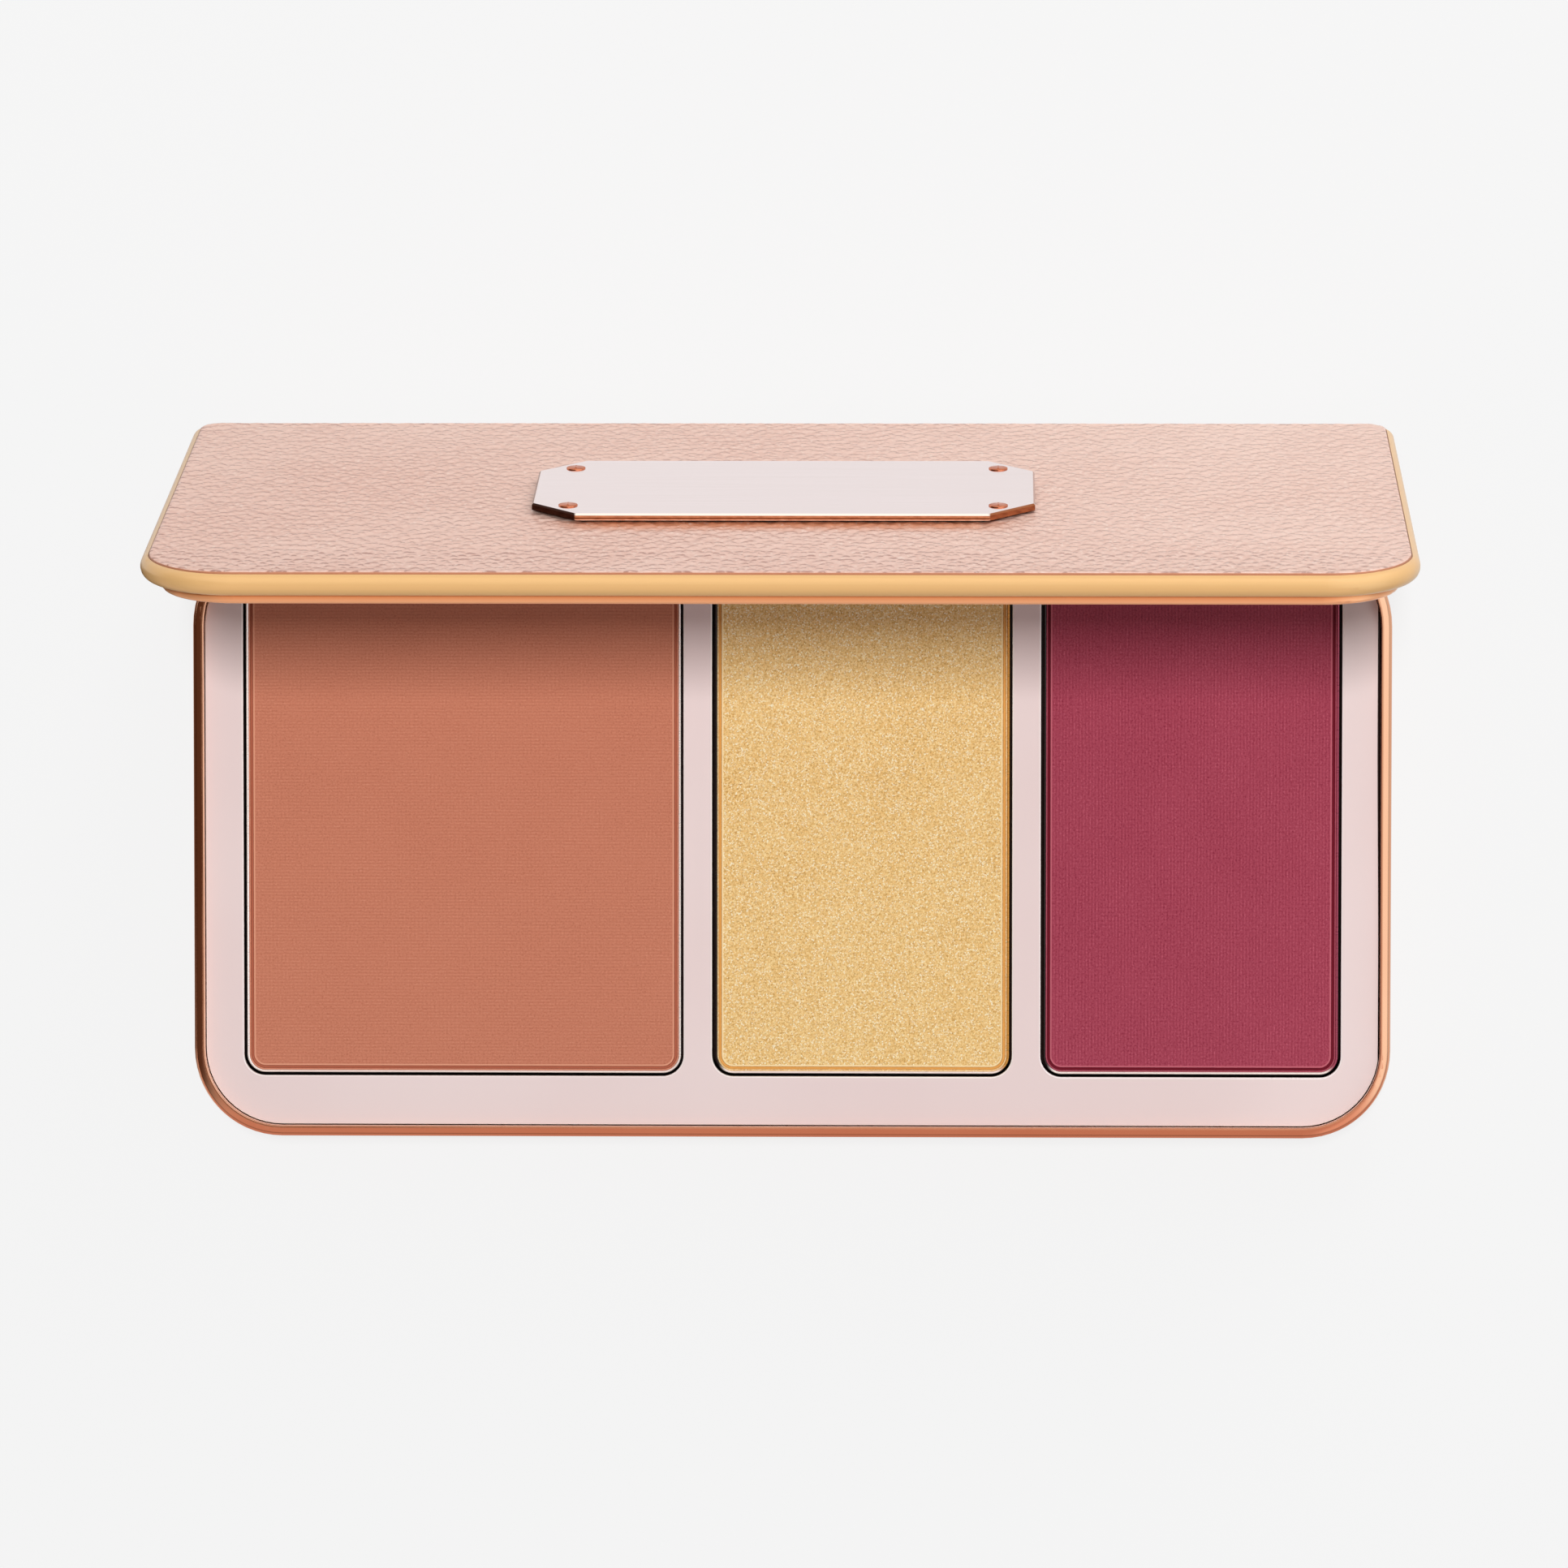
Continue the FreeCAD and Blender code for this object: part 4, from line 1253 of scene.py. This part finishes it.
@dataclass
class PowderPan:
    """One metal pan with its glue and its pressed powder."""

    name: str
    finish: Powder
    # Painted colours for the pan's side edges, plain on the bronzer's pan.
    left_edge: Colour
    right_edge: Colour
    edge_width: float = 0.4 * MM
    edge_fade: float = 1.0 * MM
    corner: float = 1.82 * MM
    corner_steps: int = 12
    ring_drop: float = 0.10 * MM
    ring_round: float = 0.05 * MM
    ring_width: float = 0.14 * MM
    groove_drop: float = 0.34 * MM
    groove_width: float = 0.20 * MM
    slope: float = 0.08 * MM
    lip_round: float = 0.03 * MM
    lip_width: float = 0.12 * MM
    face_drop: float = 0.02 * MM
    # Painted tones: shade on the side and in the groove, highlight on the outer ring and the lip.
    side_shade: float = -0.3
    ring_highlight: float = 0.5
    groove_shade: float = -1.0
    lip_highlight: float = 0.9
    sharp: float = 40.0

    def profile(self, low: float, high: float) -> list[Ring]:
        """Draw the powder's edge: an outer ring, a groove and a lip around the pressed face.

        Args:
            low: The height of the powder's underside.
            high: The height of its lip.

        Returns:
            The rings, from the bottom up and inwards.
        """
        ring, groove = high - self.ring_drop, high - self.groove_drop
        face = high - self.face_drop
        into = self.ring_width + self.slope
        out = into + self.groove_width
        lip = out + self.slope
        inner = lip + self.lip_round + self.lip_width
        return [
            Ring(0.0, low),
            Ring(0.0, ring - self.ring_round, self.side_shade),
            Ring(self.ring_round, ring, self.ring_highlight),
            Ring(self.ring_width, ring, self.ring_highlight),
            Ring(into, groove, self.groove_shade),
            Ring(out, groove, self.groove_shade),
            Ring(lip, high - self.lip_round),
            Ring(lip + self.lip_round, high, self.lip_highlight),
            Ring(inner, high, self.lip_highlight),
            Ring(inner + self.slope, face),
            Ring(inner + 2 * self.slope, face),
        ]

    def sheet(self) -> PanSheet:
        """Give the finish of the pan's metal."""
        low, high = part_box(f"{self.name}_pan")
        return PanSheet(f"{self.name} pan sheet", PALE_SHEET, DEEP_SHEET, axes=Axes.CASE, length=6 * MM,
                        width=0.4 * MM, low=0.26, high=0.32, metallic=0.5, left=self.left_edge,
                        right=self.right_edge, left_end=low.x, right_end=high.x,
                        edge_width=self.edge_width, edge_fade=self.edge_fade)

    def build(self) -> None:
        """Build the powder's cake in its pan."""
        low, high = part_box(f"{self.name}_powder")
        outline = Outline(low, high, self.corner, self.corner)
        solid = stack_rings(outline, self.profile(low.z, high.z), self.corner_steps)
        mesh = to_mesh(f"{self.name}_cake", solid, self.finish.material(), self.sharp)
        add_piece(f"{self.name}_cake", mesh, Body.CASE, f"{self.name}_powder", f"{self.name}_powder")


def build_pans() -> None:
    """Build the three powders and finish their pans."""
    # Each powder's groove colour is painted shade and its lip colour a painted highlight.
    bronzer = PressedPowder("bronzer powder", dark=srgb(180, 108, 84), colour=srgb(202, 129, 103),
                            light=srgb(211, 142, 116), groove=srgb(176, 103, 79), lip=srgb(221, 154, 126),
                            press=Press.ALONG, line_pitch=0.368 * MM, thread_pitch=0.46 * MM, roughness=0.85)
    highlighter = Shimmer("highlighter powder", dark=srgb(190, 138, 62), colour=srgb(237, 194, 124),
                          light=srgb(252, 227, 169), groove=srgb(222, 166, 90), lip=srgb(250, 224, 172),
                          glint=srgb(255, 246, 218), flake=0.12 * MM)
    blush = PressedPowder("blush powder", dark=srgb(131, 40, 60), colour=srgb(168, 71, 90),
                          light=srgb(192, 95, 113), groove=srgb(112, 24, 40), lip=srgb(190, 98, 112),
                          press=Press.ACROSS, line_pitch=0.373 * MM, thread_pitch=0.48 * MM, roughness=0.75)
    # On the highlighter and blush pans the left edge is painted shade from the gap and the right edge a
    # painted reflection of the powder.
    pans = [PowderPan("bronzer", bronzer, left_edge=PALE_SHEET, right_edge=PALE_SHEET),
            PowderPan("highlighter", highlighter, left_edge=GAP_SHADE, right_edge=srgb(222, 158, 74)),
            PowderPan("blush", blush, left_edge=GAP_SHADE, right_edge=srgb(172, 78, 100))]
    for pan in pans:
        pan.build()
        dress(pan.sheet(), f"{pan.name}_pan")
    dress(FILM, *(f"{pan.name}_glue" for pan in pans), "leather_adhesive", "mirror_tape")


@dataclass
class UpperCase:
    """The lid's own shell with its mirror, its frame and its magnets."""

    film_smear: float = 14 * MM
    glass_smear: float = 12 * MM

    def dress(self) -> None:
        """Finish the nodes of the lid."""
        low, high = LID.box("lid_shell")
        # The paler foot colours are painted light on the lid's lower edges.
        gold = SatinEdge("gold satin film", colour=srgb(226, 179, 119), lit_foot=srgb(255, 208, 142),
                         top=high.z, bottom=low.z, metallic=0.06,
                         marks=Marks(self.film_smear, low=0.28, high=0.29, skin=0.25))
        dress(gold, "lid_shell")
        low, high = LID.box("mirror_frame")
        copper = SatinEdge("copper satin film", colour=srgb(228, 146, 86), lit_foot=srgb(250, 190, 142),
                           top=high.z, bottom=low.z, metallic=0.4,
                           marks=Marks(self.film_smear, low=0.30, high=0.31, skin=0.25))
        dress(copper, "mirror_frame")
        glass = MirrorGlass("mirror glass", colour=srgb(246, 247, 247), deep=srgb(238, 241, 242),
                            marks=Marks(self.glass_smear, low=0.01, high=0.05, skin=0.0))
        dress(glass, "mirror")
        dress(STEEL, "lid_magnets")


@dataclass
class LeatherCover:
    """The leather on the lid's back, with its pebbles as real relief."""

    front_corner: float = 9.35 * MM
    back_corner: float = 2.3 * MM
    edge_round: float = 0.35 * MM
    spacing: float = 0.28 * MM
    row_spacing: float = 0.37 * MM
    corner_rows: int = 14
    round_steps: int = 3
    pebble: float = 1.3 * MM
    depth: float = 0.14 * MM
    edge_fade: float = 0.8 * MM
    edge_relief: float = 0.35
    spark_reach: float = 60 * MM
    hinge_light_reach: float = 30 * MM
    reflection_reach: float = 4.5 * MM

    def finish(self) -> RoseLeather:
        """Give the leather's finish."""
        low, high = LID.box("name_plate")
        # The first colour and edge are painted shade, glow a painted reflection, light partly a painted
        # highlight and spark a painted glint.
        return RoseLeather("rose leather", slope_shade=srgb(182, 134, 119), colour=srgb(224, 180, 163),
                           light=srgb(236, 201, 186), spark=srgb(255, 244, 234), edge=srgb(186, 124, 92),
                           glow=srgb(214, 126, 76), pebble=self.pebble, reach=self.pebble / 6,
                           spark_reach=self.spark_reach, hinge_light_reach=self.hinge_light_reach, plate_edge=low.y,
                           plate_side=high.x, reflection_reach=self.reflection_reach)

    def rows(self, outline: Outline) -> list[tuple[float, float, float]]:
        """List the rows of the leather's flat face.

        Args:
            outline: The flat face's outline.

        Returns:
            Each row's place along Y and its two ends along X.
        """
        front, back = outline.front_corner, outline.back_corner
        quarter = [step / self.corner_rows * math.pi / 2 for step in range(self.corner_rows + 1)]
        rows = [(outline.low.y + front * (1 - math.cos(angle)), front * (1 - math.sin(angle)))
                for angle in quarter]
        straight = (outline.high.y - back) - (outline.low.y + front)
        count = round(straight / self.row_spacing)
        rows += [(outline.low.y + front + straight * step / count, 0.0) for step in range(1, count)]
        rows += [(outline.high.y - back * (1 - math.cos(angle)), back * (1 - math.sin(angle)))
                 for angle in reversed(quarter)]
        return [(y, outline.low.x + inset, outline.high.x - inset) for y, inset in rows]

    def sheet(self) -> bpy.types.Mesh:
        """Build the plain cover along the shut lid's axes, with an attribute that fades the relief.

        Returns:
            The cover's mesh.
        """
        low, high = LID.box("leather_panel")
        inset = Vector((self.edge_round, self.edge_round, 0))
        outline = Outline(low + inset, high - inset, self.front_corner - self.edge_round,
                          self.back_corner - self.edge_round)
        shape = bmesh.new()
        columns = round((high.x - low.x) / self.spacing)
        grid = []
        for y, left, right in self.rows(outline):
            places = [left + (right - left) * column / columns for column in range(columns + 1)]
            grid.append([shape.verts.new((x, y, high.z)) for x in places])
        for front, back in zip(grid, grid[1:]):
            for column in range(columns):
                shape.faces.new((front[column], front[column + 1], back[column + 1], back[column]))
        rim = [*grid[0], *(row[-1] for row in grid[1:-1]), *reversed(grid[-1]),
               *(row[0] for row in reversed(grid[1:-1]))]
        self.turn_edge(shape, outline, rim, low.z)
        mesh = bpy.data.meshes.new("leather_sheet")
        shape.to_mesh(mesh)
        shape.free()
        fade = mesh.attributes.new("fade", "FLOAT", "POINT")
        for vertex in mesh.vertices:
            fade.data[vertex.index].value = self.fade_at(outline, vertex.co, high.z)
        return mesh

    def outward(self, outline: Outline, point: Vector) -> Vector:
        """Find the direction straight out of an outline.

        Args:
            outline: The outline.
            point: A point on it.

        Returns:
            The level direction, of unit length.
        """
        middle = (outline.low + outline.high) / 2
        for centre, _ in outline.corners():
            away = Vector((point.x - centre.x, point.y - centre.y, 0))
            if away.x * (centre.x - middle.x) >= 0 and away.y * (centre.y - middle.y) >= 0:
                return away.normalized()
        across = min(point.x - outline.low.x, outline.high.x - point.x)
        along = min(point.y - outline.low.y, outline.high.y - point.y)
        if across < along:
            return Vector((math.copysign(1, point.x - middle.x), 0, 0))
        return Vector((0, math.copysign(1, point.y - middle.y), 0))

    def turn_edge(self, shape: bmesh.types.BMesh, outline: Outline, rim: list, bottom: float) -> None:
        """Round the cover's edge over, take its side down and close it below.

        Args:
            shape: The shape that holds the flat face.
            outline: The flat face's outline.
            rim: The face's outer vertices, counter-clockwise.
            bottom: The height of the underside.
        """
        outward = [self.outward(outline, vertex.co) for vertex in rim]
        top = rim[0].co.z
        drops = []
        for step in range(1, self.round_steps + 1):
            angle = step / self.round_steps * math.pi / 2
            drops.append((self.edge_round * math.sin(angle), top - self.edge_round * (1 - math.cos(angle))))
        drops.append((self.edge_round, bottom))
        upper = rim
        for reach, height in drops:
            lower = []
            for vertex, direction in zip(rim, outward):
                place = vertex.co + direction * reach
                lower.append(shape.verts.new((place.x, place.y, height)))
            for index in range(len(rim)):
                after = (index + 1) % len(rim)
                shape.faces.new((upper[after], upper[index], lower[index], lower[after]))
            upper = lower
        shape.faces.new(reversed(upper))

    def fade_at(self, outline: Outline, point: Vector, top: float) -> float:
        """Tell how much of the relief a point takes: none off the face, and less near its edge.

        Args:
            outline: The flat face's outline.
            point: The point.
            top: The face's height.

        Returns:
            The share, from 0 to 1.
        """
        if point.z < top - self.edge_round / 2:
            return 0.0
        edge = min(point.x - outline.low.x, outline.high.x - point.x,
                   point.y - outline.low.y, outline.high.y - point.y)
        share = min(1.0, max(0.0, edge / self.edge_fade))
        return self.edge_relief + (1 - self.edge_relief) * share

    def build(self) -> None:
        """Raise the pebbles and put the cover on the open lid."""
        recipe = Recipe("pebbled hide", {"Pebble": "Float", "Depth": "Float"})
        graph = recipe.graph
        place = graph.add("GeometryNodeInputPosition").outputs[0]
        hills = hide_pattern(graph, place, recipe.given["Pebble"])
        height = graph.calc("SUBTRACT", hills, 1.0)
        fade = graph.add("GeometryNodeInputNamedAttribute", {"Name": "fade"}, data_type="FLOAT").outputs[0]
        rise = graph.calc("MULTIPLY", graph.calc("MULTIPLY", height, fade), recipe.given["Depth"])
        offset = graph.add("ShaderNodeCombineXYZ", {"Z": rise}).outputs[0]
        raised = graph.add("GeometryNodeSetPosition", {0: recipe.given["Geometry"], "Offset": offset})
        recipe.close(raised.outputs[0], self.finish().material())
        mesh = recipe.run("leather_cover", self.sheet(), {"Pebble": self.pebble, "Depth": self.depth})
        mesh.transform(LID.matrix())
        add_piece("leather_cover", mesh, Body.LID, "rose_leather", "leather_panel")


@dataclass
class Plate:
    """The bare plate on the lid's back and its four rivets."""

    head_radius: float = 1.05 * MM
    head_height: float = 0.24 * MM
    lip: float = 0.08 * MM
    chamfer: float = 5.0 * MM
    thickness: float = 0.75 * MM
    bevel_drop: float = 0.2 * MM
    dark_reflection_drop: float = 0.5 * MM
    shank_depth: float = 0.6 * MM
    shank_share: float = 0.45
    corner_steps: int = 9
    dome_steps: int = 7
    sharp: float = 50.0

    def rivet(self) -> bpy.types.Object:
        """Build one rivet, standing on its origin.

        Returns:
            An object to repeat.
        """
        radius = self.head_radius
        outline = Outline(Vector((-radius, -radius)), Vector((radius, radius)), radius, radius)
        shank = self.shank_share * radius
        profile = [Ring(shank, -self.shank_depth), Ring(shank, 0.0), Ring(0.0, 0.0), Ring(0.0, self.lip)]
        for step in range(1, self.dome_steps):
            angle = step / self.dome_steps * math.pi / 2
            rise = (self.head_height - self.lip) * math.sin(angle)
            profile.append(Ring(radius * (1 - math.cos(angle)), self.lip + rise))
        mesh = bpy.data.meshes.new("rivet")
        shape = stack_rings(outline, profile, self.corner_steps)
        shape.to_mesh(mesh)
        shape.free()
        return bpy.data.objects.new("rivet", mesh)

    def build(self) -> None:
        """Repeat the rivet at the plate's four corners."""
        low, high = LID.box("plate_rivets")
        top = LID.box("name_plate")[1].z
        reach = Vector((self.head_radius, self.head_radius, 0))
        near, far = low + reach, high - reach
        spots = bpy.data.meshes.new("rivet_spots")
        spots.from_pydata([(x, y, top) for x in (near.x, far.x) for y in (near.y, far.y)], [], [])
        rivet = self.rivet()
        recipe = Recipe("repeated rivets", {"Rivet": "Object"})
        shape = recipe.graph.add("GeometryNodeObjectInfo", {"Object": recipe.given["Rivet"]})
        repeat = recipe.graph.add("GeometryNodeInstanceOnPoints", {
            "Points": recipe.given["Geometry"], "Instance": shape.outputs["Geometry"]})
        copper = DrawnMetal("polished copper", colour=srgb(214, 132, 96), deep=srgb(190, 104, 72),
                            axes=Axes.LID, length=1.5 * MM, width=0.2 * MM, low=0.14, high=0.24,
                            metallic=WHOLE_METAL)
        recipe.close(repeat.outputs[0], copper.material())
        mesh = recipe.run("rivet_heads", spots, {"Rivet": rivet})
        mesh.set_sharp_from_angle(angle=math.radians(self.sharp))
        mesh.transform(LID.matrix())
        bpy.data.objects.remove(rivet)
        add_piece("rivet_heads", mesh, Body.LID, "rivet_copper", "plate_rivets")

    def dress(self) -> None:
        """Finish the plate."""
        high = LID.box("name_plate")[1]
        # The plate's bevel highlight, dark band and corner colours are painted light and shade.
        plated = PlatedMetal("plated metal", face=srgb(244, 227, 226), face_deep=srgb(242, 225, 223),
                             bevel_highlight=srgb(255, 236, 222), side=srgb(236, 176, 134), dark_reflection=srgb(120, 66, 42),
                             left_corner_shade=srgb(60, 32, 22), right_corner_shade=srgb(176, 108, 72), top=high.z,
                             bevel_drop=self.bevel_drop, dark_reflection_drop=self.dark_reflection_drop, foot_drop=self.thickness,
                             cut=high.x - self.chamfer, low=0.10, high=0.18)
        dress(plated, "name_plate")
        # A near-black pad, whose colour also serves as painted shade under the plate.
        dress(AdhesiveFilm("dark pad and painted shade", colour=srgb(20, 16, 15), deep=srgb(12, 10, 9)), "plate_adhesive")


@dataclass
class Studio:
    """The pale floor, the soft light and the camera over the open palette."""

    background: float = 0.905
    fill: float = 0.30
    low_fill: float = 0.7
    key: float = 0.70
    key_lean: float = 8.1
    key_reach: float = 3.0
    key_width: float = 0.12
    key_depth: float = 0.43
    rear: float = 0.98
    rear_place: Place = (0.14, 0.58, 0.44)
    side: float = 0.74
    side_place: Place = (0.33, 0.40, 0.05)
    lamp_size: float = 0.2
    lamp_target: Place = (0.0, 0.05, 0.04)
    floor_size: float = 1.6
    floor_bounce: float = 0.55
    floor_glow: float = 0.9
    dark_side: Colour = (0.118, 0.064, 0.042, 1.0)
    bright_side: Colour = (1.42, 1.64, 1.78, 1.0)
    front_side: Colour = (0.745, 0.458, 0.40, 1.0)
    white: Colour = (1.0, 1.0, 1.0, 1.0)
    dark_left: Span = (-0.080, -0.071)
    dark_front: Span = (-0.040, -0.026)
    dark_back: Span = (0.030, 0.045)
    front_edge: Span = (-0.042, -0.036)
    aside: Span = (0.14, 0.20)
    left_above: Span = (-0.085, -0.060)
    left_aside: Span = (-0.97, -0.60)
    front_above: Span = (-0.100, -0.075)
    front_aside: Span = (-0.90, -0.40)
    bright_right: Span = (0.05, 0.30)
    rise: Span = (0.0, 0.4)
    rise_level: Span = (0.40, 0.95)
    rear_turn: Span = (0.1, 0.5)
    rear_level: Span = (1.0, 1.25)
    fill_side: Span = (-0.8, 0.2)
    fill_level: Span = (0.15, 1.0)
    rear_side: Span = (-0.8, 0.4)
    rear_fill: Span = (0.75, 1.2)
    rear_blend: Span = (-0.2, 0.4)
    low_rise: Span = (0.1, 0.4)
    low_front: Span = (-0.8, -0.2)
    camera_place: Place = (22.291 * MM, 60.344 * MM, 931.227 * MM)
    camera_turn: Place = (-3.3873, 1.439, 0.0198)
    camera_lens: float = 186.925

    def build(self) -> None:
        """Set up everything around the palette."""
        bpy.context.scene.view_settings.view_transform = "Standard"
        self.build_floor()
        self.build_world()
        self.build_lights()
        self.build_camera()

    def grey(self, level: float) -> Colour:
        """Give a grey of a linear level."""
        return (level, level, level, 1.0)

    def build_floor(self) -> None:
        """Lay a pale floor that keeps a light shadow and looks darker to metal at the left."""
        half = self.floor_size / 2
        corners = [(-half, -half, 0), (half, -half, 0), (half, half, 0), (-half, half, 0)]
        mesh = bpy.data.meshes.new("floor")
        mesh.from_pydata(corners, [], [range(len(corners))])
        floor = bpy.data.objects.new("floor", mesh)
        bpy.context.scene.collection.objects.link(floor)
        material = bpy.data.materials.new("pale floor")
        material.use_nodes = True
        material.node_tree.nodes.clear()
        graph = Graph(material.node_tree)
        level = self.grey(self.background)
        path = graph.add("ShaderNodeLightPath").outputs
        axes = graph.axes(graph.place(Axes.CASE))
        beside = graph.calc("MULTIPLY", graph.spread(axes["Y"], *self.dark_front),
                            graph.spread(axes["Y"], *self.dark_back, 1.0, 0.0))
        away = graph.calc("MULTIPLY", graph.spread(axes["X"], *self.dark_left, 1.0, 0.0), beside)
        left = graph.blend(away, self.white, self.dark_side)
        front = graph.blend(graph.spread(axes["Y"], *self.front_edge), self.front_side, self.white)
        mirrored = graph.move("SCALE", graph.move("MULTIPLY", left, front), self.background)
        matte = graph.blend(path["Is Diffuse Ray"], level, self.grey(self.floor_bounce))
        plain = graph.add("ShaderNodeBsdfDiffuse", {"Color": matte}).outputs[0]
        glow = graph.add("ShaderNodeEmission", {"Color": level}).outputs[0]
        sheen = graph.add("ShaderNodeEmission", {"Color": mirrored}).outputs[0]
        share = graph.calc("MULTIPLY", path["Is Camera Ray"], self.floor_glow)
        seen = graph.add("ShaderNodeMixShader", {0: share, 1: plain, 2: glow}).outputs[0]
        mixed = graph.add("ShaderNodeMixShader", {0: path["Is Glossy Ray"], 1: seen, 2: sheen}).outputs[0]
        graph.add("ShaderNodeOutputMaterial", {"Surface": mixed})
        mesh.materials.append(material)

    def build_world(self) -> None:
        """Surround the palette with even fill light, and give its metal a studio to mirror."""
        world = bpy.data.worlds.new("studio")
        bpy.context.scene.world = world
        world.use_nodes = True
        world.node_tree.nodes.clear()
        graph = Graph(world.node_tree)
        towards = graph.add("ShaderNodeTexCoord").outputs["Generated"]
        path = graph.add("ShaderNodeLightPath").outputs
        mirrored = graph.calc("MAXIMUM", path["Is Glossy Ray"], path["Is Transmission Ray"])
        light = graph.blend(mirrored, self.fill_light(graph, towards), self.mirrored_studio(graph, towards))
        shown = graph.blend(path["Is Camera Ray"], light, self.grey(self.background))
        sky = graph.add("ShaderNodeBackground", {"Color": shown}).outputs[0]
        graph.add("ShaderNodeOutputWorld", {"Surface": sky})

    def mirrored_studio(self, graph: Graph, towards: Socket) -> Socket:
        """Give what metal mirrors: a dark left side, a bright right side and a copper front.

        Args:
            graph: The world's graph.
            towards: The direction that is looked in.

        Returns:
            The studio's colour there.
        """
        axes = graph.axes(towards)
        level = graph.move("MULTIPLY", towards, (1.0, 1.0, 0.0))
        lean = graph.add("ShaderNodeVectorMath", {0: level}, operation="LENGTH").outputs["Value"]
        compass = graph.axes(graph.move("NORMALIZE", level, (0, 0, 0)))
        aside = graph.spread(lean, *self.aside)
        to_left = graph.mix(aside, graph.spread(axes["X"], *self.left_above, 1.0, 0.0),
                            graph.spread(compass["X"], *self.left_aside, 1.0, 0.0))
        to_front = graph.mix(aside, graph.spread(axes["Y"], *self.front_above, 1.0, 0.0),
                             graph.spread(compass["Y"], *self.front_aside, 1.0, 0.0))
        left = graph.blend(to_left, self.white, self.dark_side)
        front = graph.blend(to_front, self.white, self.front_side)
        right = graph.blend(graph.spread(axes["X"], *self.bright_right), self.white, self.bright_side)
        height = graph.spread(axes["Z"], *self.rise, *self.rise_level)
        back = graph.spread(axes["Y"], *self.rear_turn, *self.rear_level)
        sides = graph.move("MULTIPLY", graph.move("MULTIPLY", left, right), front)
        return graph.move("SCALE", sides, graph.calc("MULTIPLY", height, back))

    def fill_light(self, graph: Graph, towards: Socket) -> Socket:
        """Give the soft fill: weak at the left, stronger behind, and some from low in front.

        Args:
            graph: The world's graph.
            towards: The direction that is looked in.

        Returns:
            The light's level there.
        """
        axes = graph.axes(towards)
        fill_level = [share * self.fill for share in self.fill_level]
        rear_fill = [share * self.fill for share in self.rear_fill]
        shaded = graph.spread(axes["X"], *self.fill_side, *fill_level)
        behind = graph.spread(axes["X"], *self.rear_side, *rear_fill)
        low = graph.calc("MULTIPLY", graph.spread(axes["Z"], *self.low_rise, self.low_fill, 0.0),
                         graph.spread(axes["Y"], *self.low_front, 1.0, 0.0))
        around = graph.mix(graph.spread(axes["Y"], *self.rear_blend), shaded, behind)
        return graph.calc("ADD", around, low)

    def hang(self, name: str, lamp: bpy.types.Light, place: Vector, target: Vector) -> None:
        """Hang a lamp that lights the palette but is never seen, not even in its metal.

        Args:
            name: The lamp's name.
            lamp: The lamp's data.
            place: Where it hangs.
            target: Where it points.
        """
        lamp_object = bpy.data.objects.new(name, lamp)
        lamp_object.location = place
        lamp_object.rotation_euler = (target - place).to_track_quat("-Z", "Y").to_euler()
        lamp_object.visible_camera = False
        lamp_object.visible_glossy = False
        bpy.context.scene.collection.objects.link(lamp_object)
        LOG.info("hung the %s lamp", name)

    def build_lights(self) -> None:
        """Hang a soft key lamp over the palette, and two weak lamps that light the lid's back."""
        key = bpy.data.lights.new("key", "AREA")
        key.shape = "RECTANGLE"
        key.size = self.key_width
        key.size_y = self.key_depth
        key.energy = self.key * (math.pi * self.key_reach) ** 2
        lean = math.radians(self.key_lean)
        place = self.key_reach * Vector((0, math.sin(lean), math.cos(lean)))
        self.hang("key", key, place, Vector((0, 0, 0)))
        lamps = (("rear", self.rear, self.rear_place), ("side", self.side, self.side_place))
        for name, energy, spot in lamps:
            lamp = bpy.data.lights.new(name, "AREA")
            lamp.energy = energy
            lamp.size = self.lamp_size
            self.hang(name, lamp, Vector(spot), Vector(self.lamp_target))

    def build_camera(self) -> None:
        """Put the camera where the photograph was taken from."""
        data = bpy.data.cameras.new("camera")
        data.lens = self.camera_lens
        camera = bpy.data.objects.new("camera", data)
        camera.location = self.camera_place
        camera.rotation_euler = [math.radians(turn) for turn in self.camera_turn]
        bpy.context.scene.collection.objects.link(camera)
        bpy.context.scene.camera = camera


def main() -> None:
    """Dress the palette piece by piece and set it in the studio."""
    logging.basicConfig(level=logging.INFO, format="%(name)s: %(message)s")
    LowerCase().dress()
    build_pans()
    LeatherCover().build()
    plate = Plate()
    plate.build()
    plate.dress()
    UpperCase().dress()
    Studio().build()


if __name__ == "__main__":
    main()
